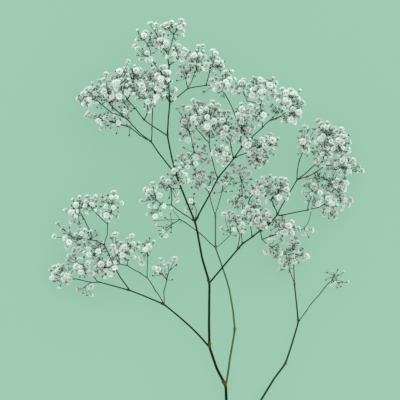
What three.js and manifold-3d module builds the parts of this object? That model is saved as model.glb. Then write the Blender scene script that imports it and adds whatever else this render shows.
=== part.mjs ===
// A cut gypsophila (baby's breath) stem, lying on a flat surface.
// Millimetres, +Z up. The plant lies along Y, its cut end towards -Y, and z = 0 is the surface.
// Stems and twigs are tapered tubes, and each floret is a small four-sided solid on its pedicel.
import * as THREE from 'three';
import { mergeVertices } from 'three/addons/utils/BufferGeometryUtils.js';
import Module from 'manifold-3d';

const wasm = await Module();
wasm.setup();

// Driving dimensions. A floret is a pointed calyx below a blunt cone of petals, on its pedicel.
const FLORET_RADIUS = 3;
const FLORET_DOME = 2.5;
const CALYX_DEPTH = 2.5;
const PETAL_RISE = 0.4;
const PEDICEL_RADIUS = 0.24;
const SHORTEST_PEDICEL = 3.6;
const TWIG_RADIUS = 0.4;
const SEAT_GAP = 0.3;
const FLORET_SPACING = 2 * FLORET_RADIUS + SEAT_GAP;

// How a spray fills out. Its florets lie on a dome round the fork that carries them, at least
// SMALLEST_HEAD in radius, and near the rim they still spread by HEAD_THICKNESS of that radius.
const SMALLEST_HEAD = 9;
const HEAD_DEPTH = 0.8;
const HEAD_THICKNESS = 0.15;
const GOLDEN_TURN = 0.6180339887;
const HEIGHT_STEP = 0.8;
const HEIGHT_TRIES = 60;
const OWN_TWIG_OVERLAP = 0.8;
const TWIG_MARGIN = 0.5;

// How far along the way to its florets a twig forks again, and how far that fork may be lifted.
const FORK_SHARE = 0.46;
const LEAST_FORK_SHARE = 0.2;
const FORK_LIFT = 1.5;
const FORK_TRIES = 9;
const LOWEST_FORK = 1;

// A tube's ends are drawn out to blunt points, NOSE of the radius long.
const NOSE = 0.6;
const SEAT_STEP = 0.1;
const SHORTEST_SEGMENT = 0.5;
const TINY = 1e-9;
const STEM_SIDES = 7;
const SHOOT_SIDES = 4;
const STEEP = 0.9;
const STEM_COLOUR = 0x3d4a26;
const SECOND_STEM_COLOUR = 0x6f8a45;
const SPRAY_COLOUR = 0xe9e4e2;
const STEM_ROUGHNESS = 0.6;
const SPRAY_ROUGHNESS = 0.9;

// The plan: x runs to the right and y down from the tip, both in mm, and z is the height.
// PLAN_CENTRE is the plan's point that lies at the part's origin.
const PLAN_CENTRE = [207.5, 260.4];

// Stems, from their thick end to their thin one: radius at either end, then the path.
const STEMS = {
  main_stem: { radius: [1.6, 0.5], path: [
    [229.5, 500, 1.65], [228.6, 478, 2.8], [227.8, 455, 5], [227.3, 425, 8], [226, 387, 13],
    [217, 370, 15.5],
    [209.5, 348, 20], [209, 325, 25.5], [209.5, 283, 33], [202, 258, 38], [197, 230, 43],
    [195, 222, 44.5],
    [184, 195, 49], [176, 174.5, 51.5], [171, 154, 53.5], [167.5, 136, 55], [168.5, 118, 55.8],
    [170, 103.5, 56], [168.5, 80, 56], [169.3, 66, 55.6], [168, 60, 55.3]] },
  second_stem: { radius: [1.05, 0.55], path: [
    [226, 387, 13], [228.5, 372, 15], [230, 360, 17], [233.5, 340, 21], [235, 330, 23],
    [233.3, 312, 26],
    [229.5, 290, 29], [227.3, 282, 30], [220, 260, 32.5], [215.5, 248, 34], [215.5, 216, 31]] },
  right_stem: { radius: [1.25, 0.6], path: [
    [227.8, 455, 5], [245, 427, 7], [262.5, 400, 8.5], [275, 379.5, 9.5], [286, 365, 11],
    [291, 350, 12],
    [297, 330, 13.5], [299, 323, 14], [297.5, 308, 15.5], [295, 285, 17]] },
  left_branch: { radius: [0.9, 0.5], path: [
    [209.5, 348, 20], [200, 337, 19.5], [190, 327, 19], [178, 316.5, 18.5], [164, 305, 18],
    [145, 297, 17],
    [129.5, 291, 16], [115, 287, 15], [98, 282.5, 13.5]] },
  left_upper_twig: { radius: [0.6, 0.45], path: [
    [129.5, 291, 16], [120, 278, 20], [114, 267, 23], [107.5, 252, 27], [104, 245, 28]] },
  upper_left_branch: { radius: [0.7, 0.45], path: [
    [176, 174.5, 51.5], [169, 166, 52], [158, 152, 52], [151.5, 142, 51], [140, 133.5, 47],
    [127.5, 119.5, 42]] },
  upper_left_inner: { radius: [0.55, 0.42], path: [
    [167.5, 136, 55], [160, 131, 56], [153, 126.5, 57], [144.5, 120.5, 58], [135, 108, 59],
    [128.5, 101, 60]] },
  top_right_twig: { radius: [0.55, 0.42], path: [
    [170, 103.5, 56], [175, 99.5, 53], [188, 88.5, 44], [197, 86.5, 36], [206, 85, 28]] },
  right_diagonal: { radius: [0.8, 0.45], path: [
    [195, 222, 44.5], [201, 210, 49], [205, 203, 52], [210, 194, 55], [217.5, 178.5, 60],
    [233.5, 159, 65],
    [241, 148, 67], [252, 137, 68], [262, 128, 68]] },
  right_branch: { radius: [0.85, 0.55], path: [
    [209.5, 283, 33], [222, 268, 38], [237, 250, 42], [242, 244, 43], [252, 237, 44], [260, 230.5, 44],
    [266, 227, 43.5], [272, 221, 43], [277, 215, 42]] },
  upper_right_twig: { radius: [0.55, 0.45], path: [
    [277, 215, 42], [281, 207, 41], [290, 192, 38], [297, 180, 36]] },
  right_twig: { radius: [0.55, 0.42], path: [
    [277, 215, 42], [281, 215.5, 41], [290, 213.5, 37], [308, 210, 27]] },
  far_upper_twig: { radius: [0.5, 0.4], path: [
    [297, 180, 36], [305, 174, 36], [319, 161, 35], [323, 158, 35], [332, 147, 34]] },
};

// Flower sprays. Each arm is a twig path, and the florets that fan out from the path's last point.
// A floret is given by its place on the plan. Its height follows from the fan's shape.
const SPRAYS = {
  crown_spray: [
    { twig: [[168, 60, 55.3], [167.5, 54.5, 55], [164, 49.5, 54]],
      florets: [[163, 46], [165, 39], [158, 38], [161, 33], [157, 45], [152, 46], [156, 25],
        [150, 25], [167, 45], [154, 39], [150, 43], [159, 41]] },
    { twig: [[168, 60, 55.3], [169, 52, 58], [172.5, 41, 60], [174, 35, 61]],
      florets: [[162, 28], [169, 29], [176, 26], [182, 22], [181, 29], [166, 26], [172, 27]] }],
  top_left_spray: [
    { twig: [[168.5, 80, 56], [159, 70, 57], [152.5, 61, 57], [150.5, 58.5, 57]],
      florets: [[135, 47], [144, 56], [137, 50], [147, 54]] },
    { twig: [[150.5, 58.5, 57], [150.5, 51, 58], [149, 47, 58], [144.5, 41, 58]],
      florets: [[141, 40], [144, 36], [146, 33]] }],
  upper_middle_spray: [
    { twig: [[170, 103.5, 56], [167, 97, 59], [164, 90, 61]],
      florets: [[163, 99], [160, 91], [165, 84], [161, 81], [166, 78], [162, 75], [157, 77], [161, 68],
        [153, 70], [157, 86], [167, 98], [165, 67], [166, 73], [158, 72]] }],
  top_inner_spray: [
    { twig: [[169.3, 66, 55.6], [173, 63.5, 58], [176.5, 60.5, 59]],
      florets: [[174, 56], [176, 46], [184, 55], [189, 57], [179, 46], [187, 52], [180, 53]] }],
  top_right_spray: [
    { twig: [[188, 88.5, 44], [186.5, 84, 45], [186, 79, 46]],
      florets: [[186, 74], [177, 75], [180, 66], [186, 64], [191, 65]] },
    { twig: [[188, 88.5, 44], [190, 85, 46], [193, 78, 49], [196.5, 70.5, 51]],
      florets: [[197, 52], [199, 47], [205, 57], [194, 56], [203, 46], [192, 62]] }],
  top_right_far_spray: [
    { twig: [[206, 85, 28], [207.5, 80, 23], [209.5, 71, 13]],
      florets: [[206, 65], [213, 50], [211, 57], [218, 62], [217, 67], [216, 52], [222, 62]] },
    { twig: [[206, 85, 28], [213, 85.3, 26]],
      florets: [[216, 79], [219, 86], [212, 80]] }],
  upper_left_west_spray: [
    { twig: [[127.5, 119.5, 42], [122, 116.5, 42], [112, 113, 42], [100, 103, 43]],
      florets: [[81, 102], [86, 104], [82, 94], [86, 90], [89, 96], [94, 88], [95, 94], [84, 99],
        [90, 89], [98, 86], [99, 97], [89, 101]] },
    { twig: [[127.5, 119.5, 42], [115, 109.5, 47], [110, 104, 50]],
      florets: [[100, 82], [106, 74], [104, 86], [110, 81], [104, 93], [110, 95], [113, 103],
        [113, 87], [116, 106], [117, 102], [104, 80], [101, 91]] },
    { twig: [[127.5, 119.5, 42], [128, 109, 45]],
      florets: [[125, 113], [130, 104], [124, 103], [122, 115]] }],
  upper_left_low_spray: [
    { twig: [[151.5, 142, 51], [146, 139, 46], [140, 135.5, 42], [130, 127.5, 35.5]],
      florets: [[98, 118], [88, 114], [104, 115], [107, 126], [119, 124], [94, 116], [107, 112],
        [105, 119], [112, 122], [98, 122], [85, 116]] }],
  upper_left_middle_spray: [
    { twig: [[128.5, 101, 60], [124, 93, 62], [121.5, 90, 63]],
      florets: [[117, 78], [120, 72], [127, 69], [118, 84], [122, 80], [126, 84], [115, 95], [129, 62],
        [125, 90], [119, 90], [124, 73], [120, 99], [113, 79]] },
    { twig: [[128.5, 101, 60], [130.5, 95, 58], [130.5, 89, 57]],
      florets: [[134, 75], [137, 71], [134, 86], [138, 80], [142, 83], [132, 70], [127, 95], [141, 70],
        [132, 79], [138, 87], [137, 76]] }],
  upper_left_inner_spray: [
    { twig: [[144.5, 120.5, 58], [147, 115, 60], [148, 110, 61], [147, 102, 62], [144, 97, 63]],
      florets: [[143, 90], [145, 95], [150, 91], [148, 104], [134, 92], [151, 107], [140, 93],
        [147, 91], [142, 86]] }],
  upper_left_rising_spray: [
    { twig: [[151.5, 142, 51], [152, 128, 47], [152.5, 114, 45], [153, 105, 44], [155, 100, 43],
      [157, 96, 42]],
      florets: [[146, 77], [145, 72], [148, 84], [154, 94], [157, 99], [150, 74], [150, 79],
        [152, 86], [155, 80], [143, 76]] }],
  centre_left_spray: [
    { twig: [[176, 174.5, 51.5], [180, 170, 50], [185, 164.5, 48]],
      florets: [[188, 162], [192, 165], [178, 157], [181, 156]] },
    { twig: [[185, 164.5, 48], [191, 155.5, 46], [194, 152.5, 45]],
      florets: [[198, 154], [196, 159], [206, 161], [203, 151], [201, 157], [209, 163]] },
    { twig: [[194, 152.5, 45], [192.5, 144, 44], [190.5, 136, 43]],
      florets: [[184, 122], [185, 127], [190, 126], [188, 142], [177, 108], [183, 106], [188, 122],
        [181, 119]] }],
  centre_rising_spray: [
    { twig: [[217.5, 178.5, 60], [213.5, 165, 62], [209, 143, 64], [204, 138, 65], [196, 129, 67]],
      florets: [[193, 120], [197, 113], [199, 104], [188, 109], [200, 125], [193, 101], [195, 106],
        [203, 105], [201, 112]] },
    { twig: [[209, 143, 64], [209.5, 137, 63], [210, 129, 62]],
      florets: [[206, 115], [211, 115], [209, 107], [213, 103], [214, 122], [212, 127], [215, 111],
        [218, 106], [208, 134], [207, 129], [219, 115], [204, 121]] }],
  centre_fan_spray: [
    { twig: [[233.5, 159, 65], [231, 148, 64], [230, 141, 63], [226, 136, 62]],
      florets: [[222, 121], [225, 125], [221, 132], [223, 137], [224, 113], [229, 112], [218, 127],
        [219, 135], [226, 129]] },
    { twig: [[230, 141, 63], [231.5, 136, 60]],
      florets: [[233, 128], [234, 134]] }],
  centre_low_spray: [
    { twig: [[233.5, 159, 65], [226, 151, 67]],
      florets: [[213, 155], [220, 153], [225, 155], [227, 162], [224, 166], [217, 157]] }],
  centre_upper_spray: [
    { twig: [[241, 148, 67], [240.5, 140, 69], [241, 129, 71]],
      florets: [[237, 110], [238, 116], [247, 111], [251, 107], [249, 118], [239, 126], [243, 132],
        [248, 131], [241, 110], [242, 116], [252, 132], [244, 136]] }],
  centre_shaded_spray: [
    { twig: [[233.5, 159, 65], [241, 155, 64], [252, 151, 63]],
      florets: [[243, 145], [257, 141], [262, 141], [267, 138], [271, 135], [273, 141], [270, 146],
        [276, 146], [264, 147], [255, 147], [247, 146]] },
    { twig: [[252, 151, 63], [256, 155, 60]],
      florets: [[252, 158], [256, 161], [260, 158], [265, 153], [263, 163], [259, 167], [267, 158],
        [260, 152], [253, 164]] }],
  upper_rising_spray: [
    { twig: [[241, 129, 71], [238, 125, 69], [233, 111, 65], [229, 102, 61], [225, 95, 57],
      [223, 91, 55]],
      florets: [[222, 81], [226, 72], [229, 76], [228, 86], [226, 91], [223, 96], [226, 82],
        [230, 80]] }],
  upper_right_crown: [
    { twig: [[262, 128, 68], [261, 118, 70], [260, 106, 72], [258, 91, 74]],
      florets: [[252, 83], [260, 80], [248, 87], [251, 98], [261, 88], [256, 81], [255, 97]] },
    { twig: [[260, 106, 72], [263, 97, 70], [264.5, 91, 69]],
      florets: [[264, 84], [270, 87], [268, 95], [268, 83], [274, 88], [272, 97]] },
    { twig: [[261, 118, 70], [259, 114, 66]],
      florets: [[262, 113], [254, 114], [255, 119], [264, 117], [252, 121]] },
    { twig: [[260, 106, 72], [253, 103, 67], [247, 102, 63], [242.5, 92, 59]],
      florets: [[236, 89], [241, 83], [239, 91], [245, 86], [247, 99]] }],
  upper_far_spray: [
    { twig: [[262, 128, 68], [270, 120.5, 66], [280, 117, 64]],
      florets: [[273, 112], [277, 102], [282, 90], [279, 96], [286, 93], [290, 97], [285, 101],
        [289, 104], [276, 114]] },
    { twig: [[280, 117, 64], [287, 112, 62]],
      florets: [[294, 94], [298, 98], [297, 105], [293, 109], [303, 104], [299, 114], [286, 120],
        [294, 117], [290, 122], [290, 91]] }],
  right_upper_spray: [
    { twig: [[297, 180, 36], [297.3, 172, 37], [299.5, 160, 38], [303, 152, 39]],
      florets: [[302, 142], [303, 147], [301, 131], [305, 127], [308, 137], [315, 129], [308, 151],
        [313, 153]] }],
  right_crown_spray: [
    { twig: [[332, 147, 34], [330, 142, 36]],
      florets: [[326, 127], [322, 131], [326, 134], [322, 137], [318, 121], [332, 131], [325, 145],
        [330, 126], [319, 140], [321, 124], [330, 136]] },
    { twig: [[332, 147, 34], [336, 144, 33]],
      florets: [[338, 136], [345, 133], [342, 143], [340, 148], [346, 153], [342, 156], [336, 153],
        [342, 137], [336, 131], [345, 146], [338, 141]] }],
  right_inner_spray: [
    { twig: [[323, 158, 35], [325, 155.5, 38]],
      florets: [[320, 151], [328, 152], [331, 156], [317, 163], [324, 153], [318, 167]] }],
  far_right_spray: [
    { twig: [[297, 180, 36], [309, 176, 30], [317, 171.5, 26], [325, 165.5, 22], [335.5, 164.5, 19]],
      florets: [[336, 170], [342, 161], [355, 160], [360, 167], [363, 172], [344, 169], [350, 173],
        [340, 174], [346, 178], [346, 160]] },
    { twig: [[317, 171.5, 26], [320, 177, 22], [328, 179.5, 18]],
      florets: [[334, 181], [330, 187], [336, 187], [341, 183], [348, 184], [333, 193], [339, 192],
        [345, 190], [316, 178], [306, 178]] }],
  right_low_spray: [
    { twig: [[308, 210, 27], [309, 203, 27], [312.5, 193.5, 27]],
      florets: [[315, 186], [316, 193], [321, 194], [316, 202], [309, 186], [319, 205]] }],
  far_low_spray: [
    { twig: [[308, 210, 27], [312, 209, 25], [320, 207, 22], [325, 204, 20]],
      florets: [[325, 197], [332, 204], [328, 211], [332, 215], [329, 199], [334, 208], [335, 218]] },
    { twig: [[325, 204, 20], [330, 200.8, 17], [341, 200.5, 14]],
      florets: [[349, 206], [352, 201], [345, 196], [339, 196]] },
    { twig: [[312, 209, 25], [309, 222, 20], [305, 228, 17]],
      florets: [[302, 231], [304, 235]] }],
  middle_right_spray: [
    { twig: [[277, 215, 42], [276, 210, 45], [273, 205, 47], [271, 199, 49]],
      florets: [[267, 193], [281, 179], [286, 186], [279, 192], [279, 199], [277, 205], [270, 191],
        [285, 180], [282, 186], [287, 190]] }],
  middle_high_spray: [
    { twig: [[252, 237, 44], [250.5, 226, 46], [250, 221, 47], [248.5, 202, 48], [250, 198, 48],
        [256, 192, 48], [262, 188, 48]],
      florets: [[256, 186], [266, 178], [264, 183], [268, 188], [257, 194], [262, 194], [253, 189],
        [262, 178]] },
    { twig: [[250, 221, 47], [253, 215, 49]],
      florets: [[246, 213], [254, 208], [257, 212], [258, 202], [247, 208], [249, 216], [260, 206]] }],
  centre_right_spray: [
    { twig: [[242, 244, 43], [241.5, 235, 40], [242.5, 218, 34], [242.5, 203, 31]],
      florets: [[243, 200], [236, 203], [247, 198], [232, 205], [239, 199]] },
    { twig: [[242.5, 203, 31], [242, 190, 29], [240.5, 177, 27]],
      florets: [[245, 173], [250, 173], [236, 184], [238, 170], [232, 165], [246, 167], [246, 192]] }],
  centre_near_spray: [
    { twig: [[237, 250, 42], [240, 234, 45], [237, 229, 46]],
      florets: [[236, 222], [243, 225], [238, 217], [245, 220], [232, 213], [240, 221]] }],
  middle_near_spray: [
    { twig: [[266, 227, 43.5], [263, 223, 47]],
      florets: [[256, 221], [264, 220], [262, 215], [268, 214], [268, 224], [260, 222], [258, 216],
        [270, 218], [253, 222], [266, 210]] }],
  lower_right_spray: [
    { twig: [[260, 230.5, 44], [262, 239.5, 38], [270, 236.5, 34], [280, 233, 31]],
      florets: [[276, 222], [282, 225], [276, 227], [289, 226], [293, 222], [295, 228], [285, 234],
        [279, 219], [285, 222], [291, 230], [299, 230]] },
    { twig: [[262, 239.5, 38], [269, 246, 31]],
      florets: [[270, 241], [266, 253], [276, 251], [283, 241], [279, 248]] }],
  right_stem_spray: [
    { twig: [[295, 285, 17], [294.3, 262, 17], [294, 257, 17]],
      florets: [[292, 240], [299, 243], [294, 246], [289, 246], [297, 250], [303, 256], [308, 258],
        [290, 251], [296, 238]] },
    { twig: [[295, 285, 17], [292, 276, 15], [290, 268.5, 14]],
      florets: [[286, 262], [276, 257], [281, 262], [290, 261], [286, 253]] }],
  right_side_spray: [
    { twig: [[299, 323, 14], [307, 312, 13], [315, 301, 11.5], [325, 289, 10], [333, 281, 9]],
      florets: [[336, 285], [341, 275], [346, 272], [350, 283], [334, 271], [332, 287]] }],
  middle_left_spray: [
    { twig: [[195, 222, 44.5], [185, 215, 45], [171.5, 205, 46], [161, 204, 46]],
      florets: [[152, 198], [160, 196], [145, 190], [141, 202], [153, 184], [153, 214], [156, 197],
        [147, 194], [149, 200], [155, 218]] }],
  middle_rising_spray: [
    { twig: [[171.5, 205, 46], [171.5, 195, 49], [171, 188, 51]],
      florets: [[162, 178], [161, 184], [177, 201], [167, 189], [175, 184], [168, 181], [164, 187]] }],
  middle_low_spray: [
    { twig: [[215.5, 248, 34], [210, 243, 35], [200, 233.5, 36], [186, 223, 38], [180, 219.5, 39]],
      florets: [[172, 209], [153, 221], [158, 231], [163, 233], [161, 238], [156, 226], [166, 237],
        [170, 213]] }],
  stem_node_spray: [
    { twig: [[195, 222, 44.5], [196.5, 210, 49], [193.5, 204, 51]],
      florets: [[190, 201], [187, 205], [193, 199]] }],
  stem_front_spray: [
    { twig: [[176, 174.5, 51.5], [177.5, 177, 58]],
      florets: [[174, 171], [180, 183], [187, 181], [182, 174]] }],
  second_stem_spray: [
    { twig: [[215.5, 216, 31], [213, 208, 30], [210.5, 199, 29], [208.5, 192, 28], [202, 185, 27]],
      florets: [[194, 175], [199, 172], [204, 171], [199, 178], [197, 189]] },
    { twig: [[208.5, 192, 28], [210, 184, 26]],
      florets: [[210, 177], [213, 172]] },
    { twig: [[215.5, 216, 31], [217.5, 208, 32], [220, 199, 33], [221.5, 192, 34]],
      florets: [[222, 180], [232, 179], [228, 173], [226, 178]] }],
  second_side_spray: [
    { twig: [[215.5, 248, 34], [222, 243, 35], [230.5, 235, 36]],
      florets: [[224, 214], [230, 221], [229, 212]] }],
  left_outer_spray: [
    { twig: [[98, 282.5, 13.5], [90, 283, 12.5], [78, 280, 10.5], [70, 279, 9.8]],
      florets: [[57, 266], [52, 268], [61, 271], [52, 275], [53, 283], [66, 277], [57, 278], [50, 279]] },
    { twig: [[98, 282.5, 13.5], [93, 277, 16], [87, 269, 19]],
      florets: [[68, 257], [68, 270], [80, 273], [80, 260], [96, 273], [75, 267], [67, 261],
        [72, 256], [92, 275]] },
    { twig: [[90, 283, 12.5], [84, 287.5, 9]],
      florets: [[78, 291], [92, 288]] }],
  left_middle_spray: [
    { twig: [[104, 245, 28], [96, 241, 29], [91, 240, 30]],
      florets: [[57, 224], [62, 230], [53, 237], [68, 236], [69, 243], [67, 248], [79, 246], [82, 234],
        [86, 238], [96, 236]] },
    { twig: [[91, 240, 30], [90, 231, 33], [84, 219, 36], [80, 212, 37]],
      florets: [[72, 217], [79, 223], [80, 228], [75, 205], [79, 202], [71, 213], [73, 209],
        [82, 205]] }],
  left_crown_spray: [
    { twig: [[104, 245, 28], [107, 235, 33], [107.5, 224, 37], [98, 215, 38], [92.5, 210, 38]],
      florets: [[85, 202], [88, 206], [87, 197], [93, 199], [88, 200], [92, 204]] },
    { twig: [[107.5, 224, 37], [110.5, 215, 38], [112, 208, 38]],
      florets: [[105, 200], [114, 193], [117, 197], [112, 204], [106, 217], [116, 217], [102, 202],
        [103, 216]] }],
  left_low_spray: [
    { twig: [[114, 267, 23], [100, 260, 20], [94, 256, 19]],
      florets: [[95, 250], [73, 252], [89, 243], [104, 249], [98, 252], [93, 246], [97, 247],
        [77, 250]] },
    { twig: [[114, 267, 23], [108, 268, 20]],
      florets: [[104, 268], [100, 265], [96, 268], [101, 272], [110, 276], [97, 262]] }],
  left_inner_spray: [
    { twig: [[164, 305, 18], [155, 291, 22], [147, 278, 27], [140, 273, 29], [127, 265.5, 33],
      [120, 264, 35]],
      florets: [[115, 269], [114, 253], [117, 257], [113, 246], [116, 242], [111, 238], [115, 234],
        [118, 246]] },
    { twig: [[127, 265.5, 33], [129, 258, 35]],
      florets: [[122, 250], [127, 239], [130, 247], [134, 243], [132, 235], [125, 247], [120, 253]] },
    { twig: [[147, 278, 27], [147.5, 262, 30], [147, 252, 31]],
      florets: [[144, 245], [149, 247], [142, 264], [147, 243]] }],
  left_fork_spray: [
    { twig: [[164, 305, 18], [163.5, 292, 20], [166.5, 280, 22]],
      florets: [[154, 269], [160, 275], [161, 260], [164, 266], [175, 259], [157, 270], [168, 265]] }],
};

// Vector helpers on plain [x, y, z] arrays.
const add = (a, b) => [a[0] + b[0], a[1] + b[1], a[2] + b[2]];
const sub = (a, b) => [a[0] - b[0], a[1] - b[1], a[2] - b[2]];
const scaled = (a, k) => [a[0] * k, a[1] * k, a[2] * k];
const dot = (a, b) => a[0] * b[0] + a[1] * b[1] + a[2] * b[2];
const length = (a) => Math.sqrt(dot(a, a));
const unit = (a) => scaled(a, 1 / length(a));
const distance = (a, b) => length(sub(a, b));
const mixed = (a, b, t) => add(a, scaled(sub(b, a), t));
const clamped = (t) => Math.min(1, Math.max(0, t));

// The shortest distance between the segments a-b and c-d.
function segmentDistance(a, b, c, d) {
  const u = sub(b, a);
  const v = sub(d, c);
  const w = sub(a, c);
  const uu = dot(u, u);
  const vv = dot(v, v);
  const uv = dot(u, v);
  const uw = dot(u, w);
  const vw = dot(v, w);
  const across = uu * vv - uv * uv;
  let s = across > TINY ? clamped((uv * vw - vv * uw) / across) : 0;
  let t = vv > TINY ? clamped((uv * s + vw) / vv) : 0;
  s = uu > TINY ? clamped((uv * t - uw) / uu) : 0;
  t = vv > TINY ? clamped((uv * s + vw) / vv) : 0;
  return distance(add(a, scaled(u, s)), add(c, scaled(v, t)));
}

// The plant as it grows: straight tubes between points, and florets, each with the node that owns it.
const tubes = [];
const florets = [];
const shoots = [];

function addTube(owner, from, to, radiusFrom, radiusTo) {
  tubes.push({ owner, from, to, radiusFrom, radiusTo });
}

// How far the tube from a to b of this radius stays clear of every other node's tubes and florets.
function clearance(owner, a, b, radius) {
  let least = Infinity;
  for (const t of tubes) {
    if (t.owner !== owner) {
      const reach = radius + Math.max(t.radiusFrom, t.radiusTo);
      least = Math.min(least, segmentDistance(a, b, t.from, t.to) - reach);
    }
  }
  for (const f of florets) {
    if (f.owner !== owner) {
      const gap = segmentDistance(a, b, f.centre, f.centre) - radius - FLORET_RADIUS;
      least = Math.min(least, gap);
    }
  }
  return least;
}

// A path whose start is cut back until its end disc clears what carries it by SEAT_GAP.
function seatedPath(owner, path, radius) {
  for (let k = 0; k + 1 < path.length; k += 1) {
    const heading = unit(sub(path[k + 1], path[k]));
    for (let s = 0; s < distance(path[k], path[k + 1]) - SHORTEST_SEGMENT; s += SEAT_STEP) {
      const point = add(path[k], scaled(heading, s));
      if (endClearance(owner, point, heading, radius) >= SEAT_GAP) return [point, ...path.slice(k + 1)];
    }
  }
  return path;
}

// How far a tube that starts at the point stays clear of every other node's tubes.
function endClearance(owner, point, heading, radius) {
  let least = Infinity;
  for (const t of tubes) {
    if (t.owner !== owner) {
      const along = sub(t.to, t.from);
      const share = clamped(dot(sub(point, t.from), along) / dot(along, along));
      const away = sub(point, mixed(t.from, t.to, share));
      const gap = length(away);
      const lean = gap > TINY ? Math.abs(dot(heading, away)) / gap : 0;
      const rim = radius * Math.max(Math.sqrt(Math.max(0, 1 - lean * lean)), NOSE * lean);
      least = Math.min(least, gap - rim - (t.radiusFrom + (t.radiusTo - t.radiusFrom) * share));
    }
  }
  return least;
}

function pathLength(points) {
  return points.slice(1).reduce((sum, point, i) => sum + distance(points[i], point), 0);
}

function growStem(name, { radius, path }) {
  const [thick, thin] = radius;
  const points = seatedPath(name, path, thick);
  const whole = pathLength(points);
  const radii = points.map((_, i) => thick + ((thin - thick) * pathLength(points.slice(0, i + 1))) / whole);
  for (let i = 0; i + 1 < points.length; i += 1) {
    addTube(name, points[i], points[i + 1], radii[i], radii[i + 1]);
  }
  return { points, radii };
}

// Heights of an arm's florets: they lie on a dome round the fork, alternately near and far.
function placeFlorets(name, arm, firstTurn) {
  const fork = arm.twig[arm.twig.length - 1];
  const reach = arm.florets.map(([x, y]) => Math.sqrt((x - fork[0]) ** 2 + (y - fork[1]) ** 2));
  const dome = Math.max(SMALLEST_HEAD, ...reach);
  const lowest = FLORET_RADIUS + SEAT_GAP;
  return arm.florets.map(([x, y], i) => {
    const wave = 2 * (((firstTurn + i) * GOLDEN_TURN) % 1) - 1;
    const depth = Math.sqrt(Math.max(0, dome * dome - reach[i] * reach[i])) + HEAD_THICKNESS * dome;
    const wanted = fork[2] + wave * HEAD_DEPTH * depth;
    const centre = firstClear(name, fork, [x, y, Math.max(lowest, wanted)], lowest);
    const floret = { owner: name, centre };
    florets.push(floret);
    return floret;
  });
}

// The height nearest to the wanted one at which a floret touches nothing, and if possible
// nothing lies between it and its fork.
function firstClear(owner, fork, wanted, lowest) {
  const tried = [];
  for (let k = 0; k < HEIGHT_TRIES; k += 1) {
    const shift = HEIGHT_STEP * Math.ceil(k / 2) * (k % 2 ? 1 : -1);
    tried.push([wanted[0], wanted[1], wanted[2] + shift]);
  }
  const clear = tried.filter((centre) => centre[2] >= lowest && floretClear(owner, centre));
  const open = clear.find((centre) => clearance(owner, fork, centre, PEDICEL_RADIUS) >= SEAT_GAP);
  return open || clear[0] || wanted;
}

function floretClear(owner, centre) {
  if (florets.some((f) => distance(f.centre, centre) < FLORET_SPACING)) return false;
  for (const t of tubes) {
    const margin = t.owner === owner ? -OWN_TWIG_OVERLAP : TWIG_MARGIN;
    const reach = FLORET_RADIUS + Math.max(t.radiusFrom, t.radiusTo) + margin;
    if (segmentDistance(centre, centre, t.from, t.to) < reach) return false;
  }
  return true;
}

// A fork carries one floret at its middle and splits the rest at the two that lie furthest apart.
function split(group, fork) {
  if (group.length === 2) return group.map((f) => [f]);
  const axis = unit(sub(middle(group), fork));
  const lean = (f) => dot(unit(sub(f.centre, fork)), axis);
  const central = group.reduce((best, f) => (lean(f) > lean(best) ? f : best));
  const rest = group.filter((f) => f !== central);
  const [a, b] = furthestPair(rest);
  const nearA = rest.filter((f) => distance(f.centre, a) <= distance(f.centre, b));
  const nearB = rest.filter((f) => distance(f.centre, a) > distance(f.centre, b));
  return [nearA, nearB, [central]];
}

function furthestPair(group) {
  let widest = -1;
  let ends = [];
  for (const one of group) {
    for (const other of group) {
      const gap = distance(one.centre, other.centre);
      if (gap > widest) {
        widest = gap;
        ends = [one.centre, other.centre];
      }
    }
  }
  return ends;
}

function middle(group) {
  return scaled(group.reduce((sum, f) => add(sum, f.centre), [0, 0, 0]), 1 / group.length);
}

// The parts in order of how little the twig has to turn to reach them.
function straightestFirst(parts, fork, before) {
  const heading = unit(sub(fork, before));
  const turn = (part) => dot(unit(sub(middle(part), fork)), heading);
  return [...parts].sort((one, other) => turn(other) - turn(one));
}

// A shoot is one twig that bends at its forks and ends in a floret. The straightest way on
// from a fork belongs to the shoot, and each other way starts a shoot of its own there.
function growShoot(owner, path, group, side) {
  const points = [...path];
  let left = group;
  while (left.length > 1) {
    const fork = points[points.length - 1];
    const parts = split(left, fork);
    const before = points[points.length - 2];
    const [main, ...others] = before ? straightestFirst(parts, fork, before) : parts;
    for (const part of others) growSideShoot(owner, fork, part);
    left = main;
    if (left.length > 1) {
      const next = nextFork(owner, fork, left);
      addTube(owner, fork, next, TWIG_RADIUS, TWIG_RADIUS);
      points.push(next);
    }
  }
  const [floret] = left;
  const fork = points[points.length - 1];
  const heading = unit(sub(floret.centre, fork));
  const base = sub(floret.centre, scaled(heading, CALYX_DEPTH));
  addTube(owner, fork, base, PEDICEL_RADIUS, PEDICEL_RADIUS);
  shoots.push({ owner, points: [...points, base], floret, heading, side });
}

function growSideShoot(owner, fork, group) {
  if (group.length === 1) {
    growShoot(owner, [fork], group, true);
  } else {
    const next = nextFork(owner, fork, group);
    addTube(owner, fork, next, TWIG_RADIUS, TWIG_RADIUS);
    growShoot(owner, [fork, next], group, true);
  }
}

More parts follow.
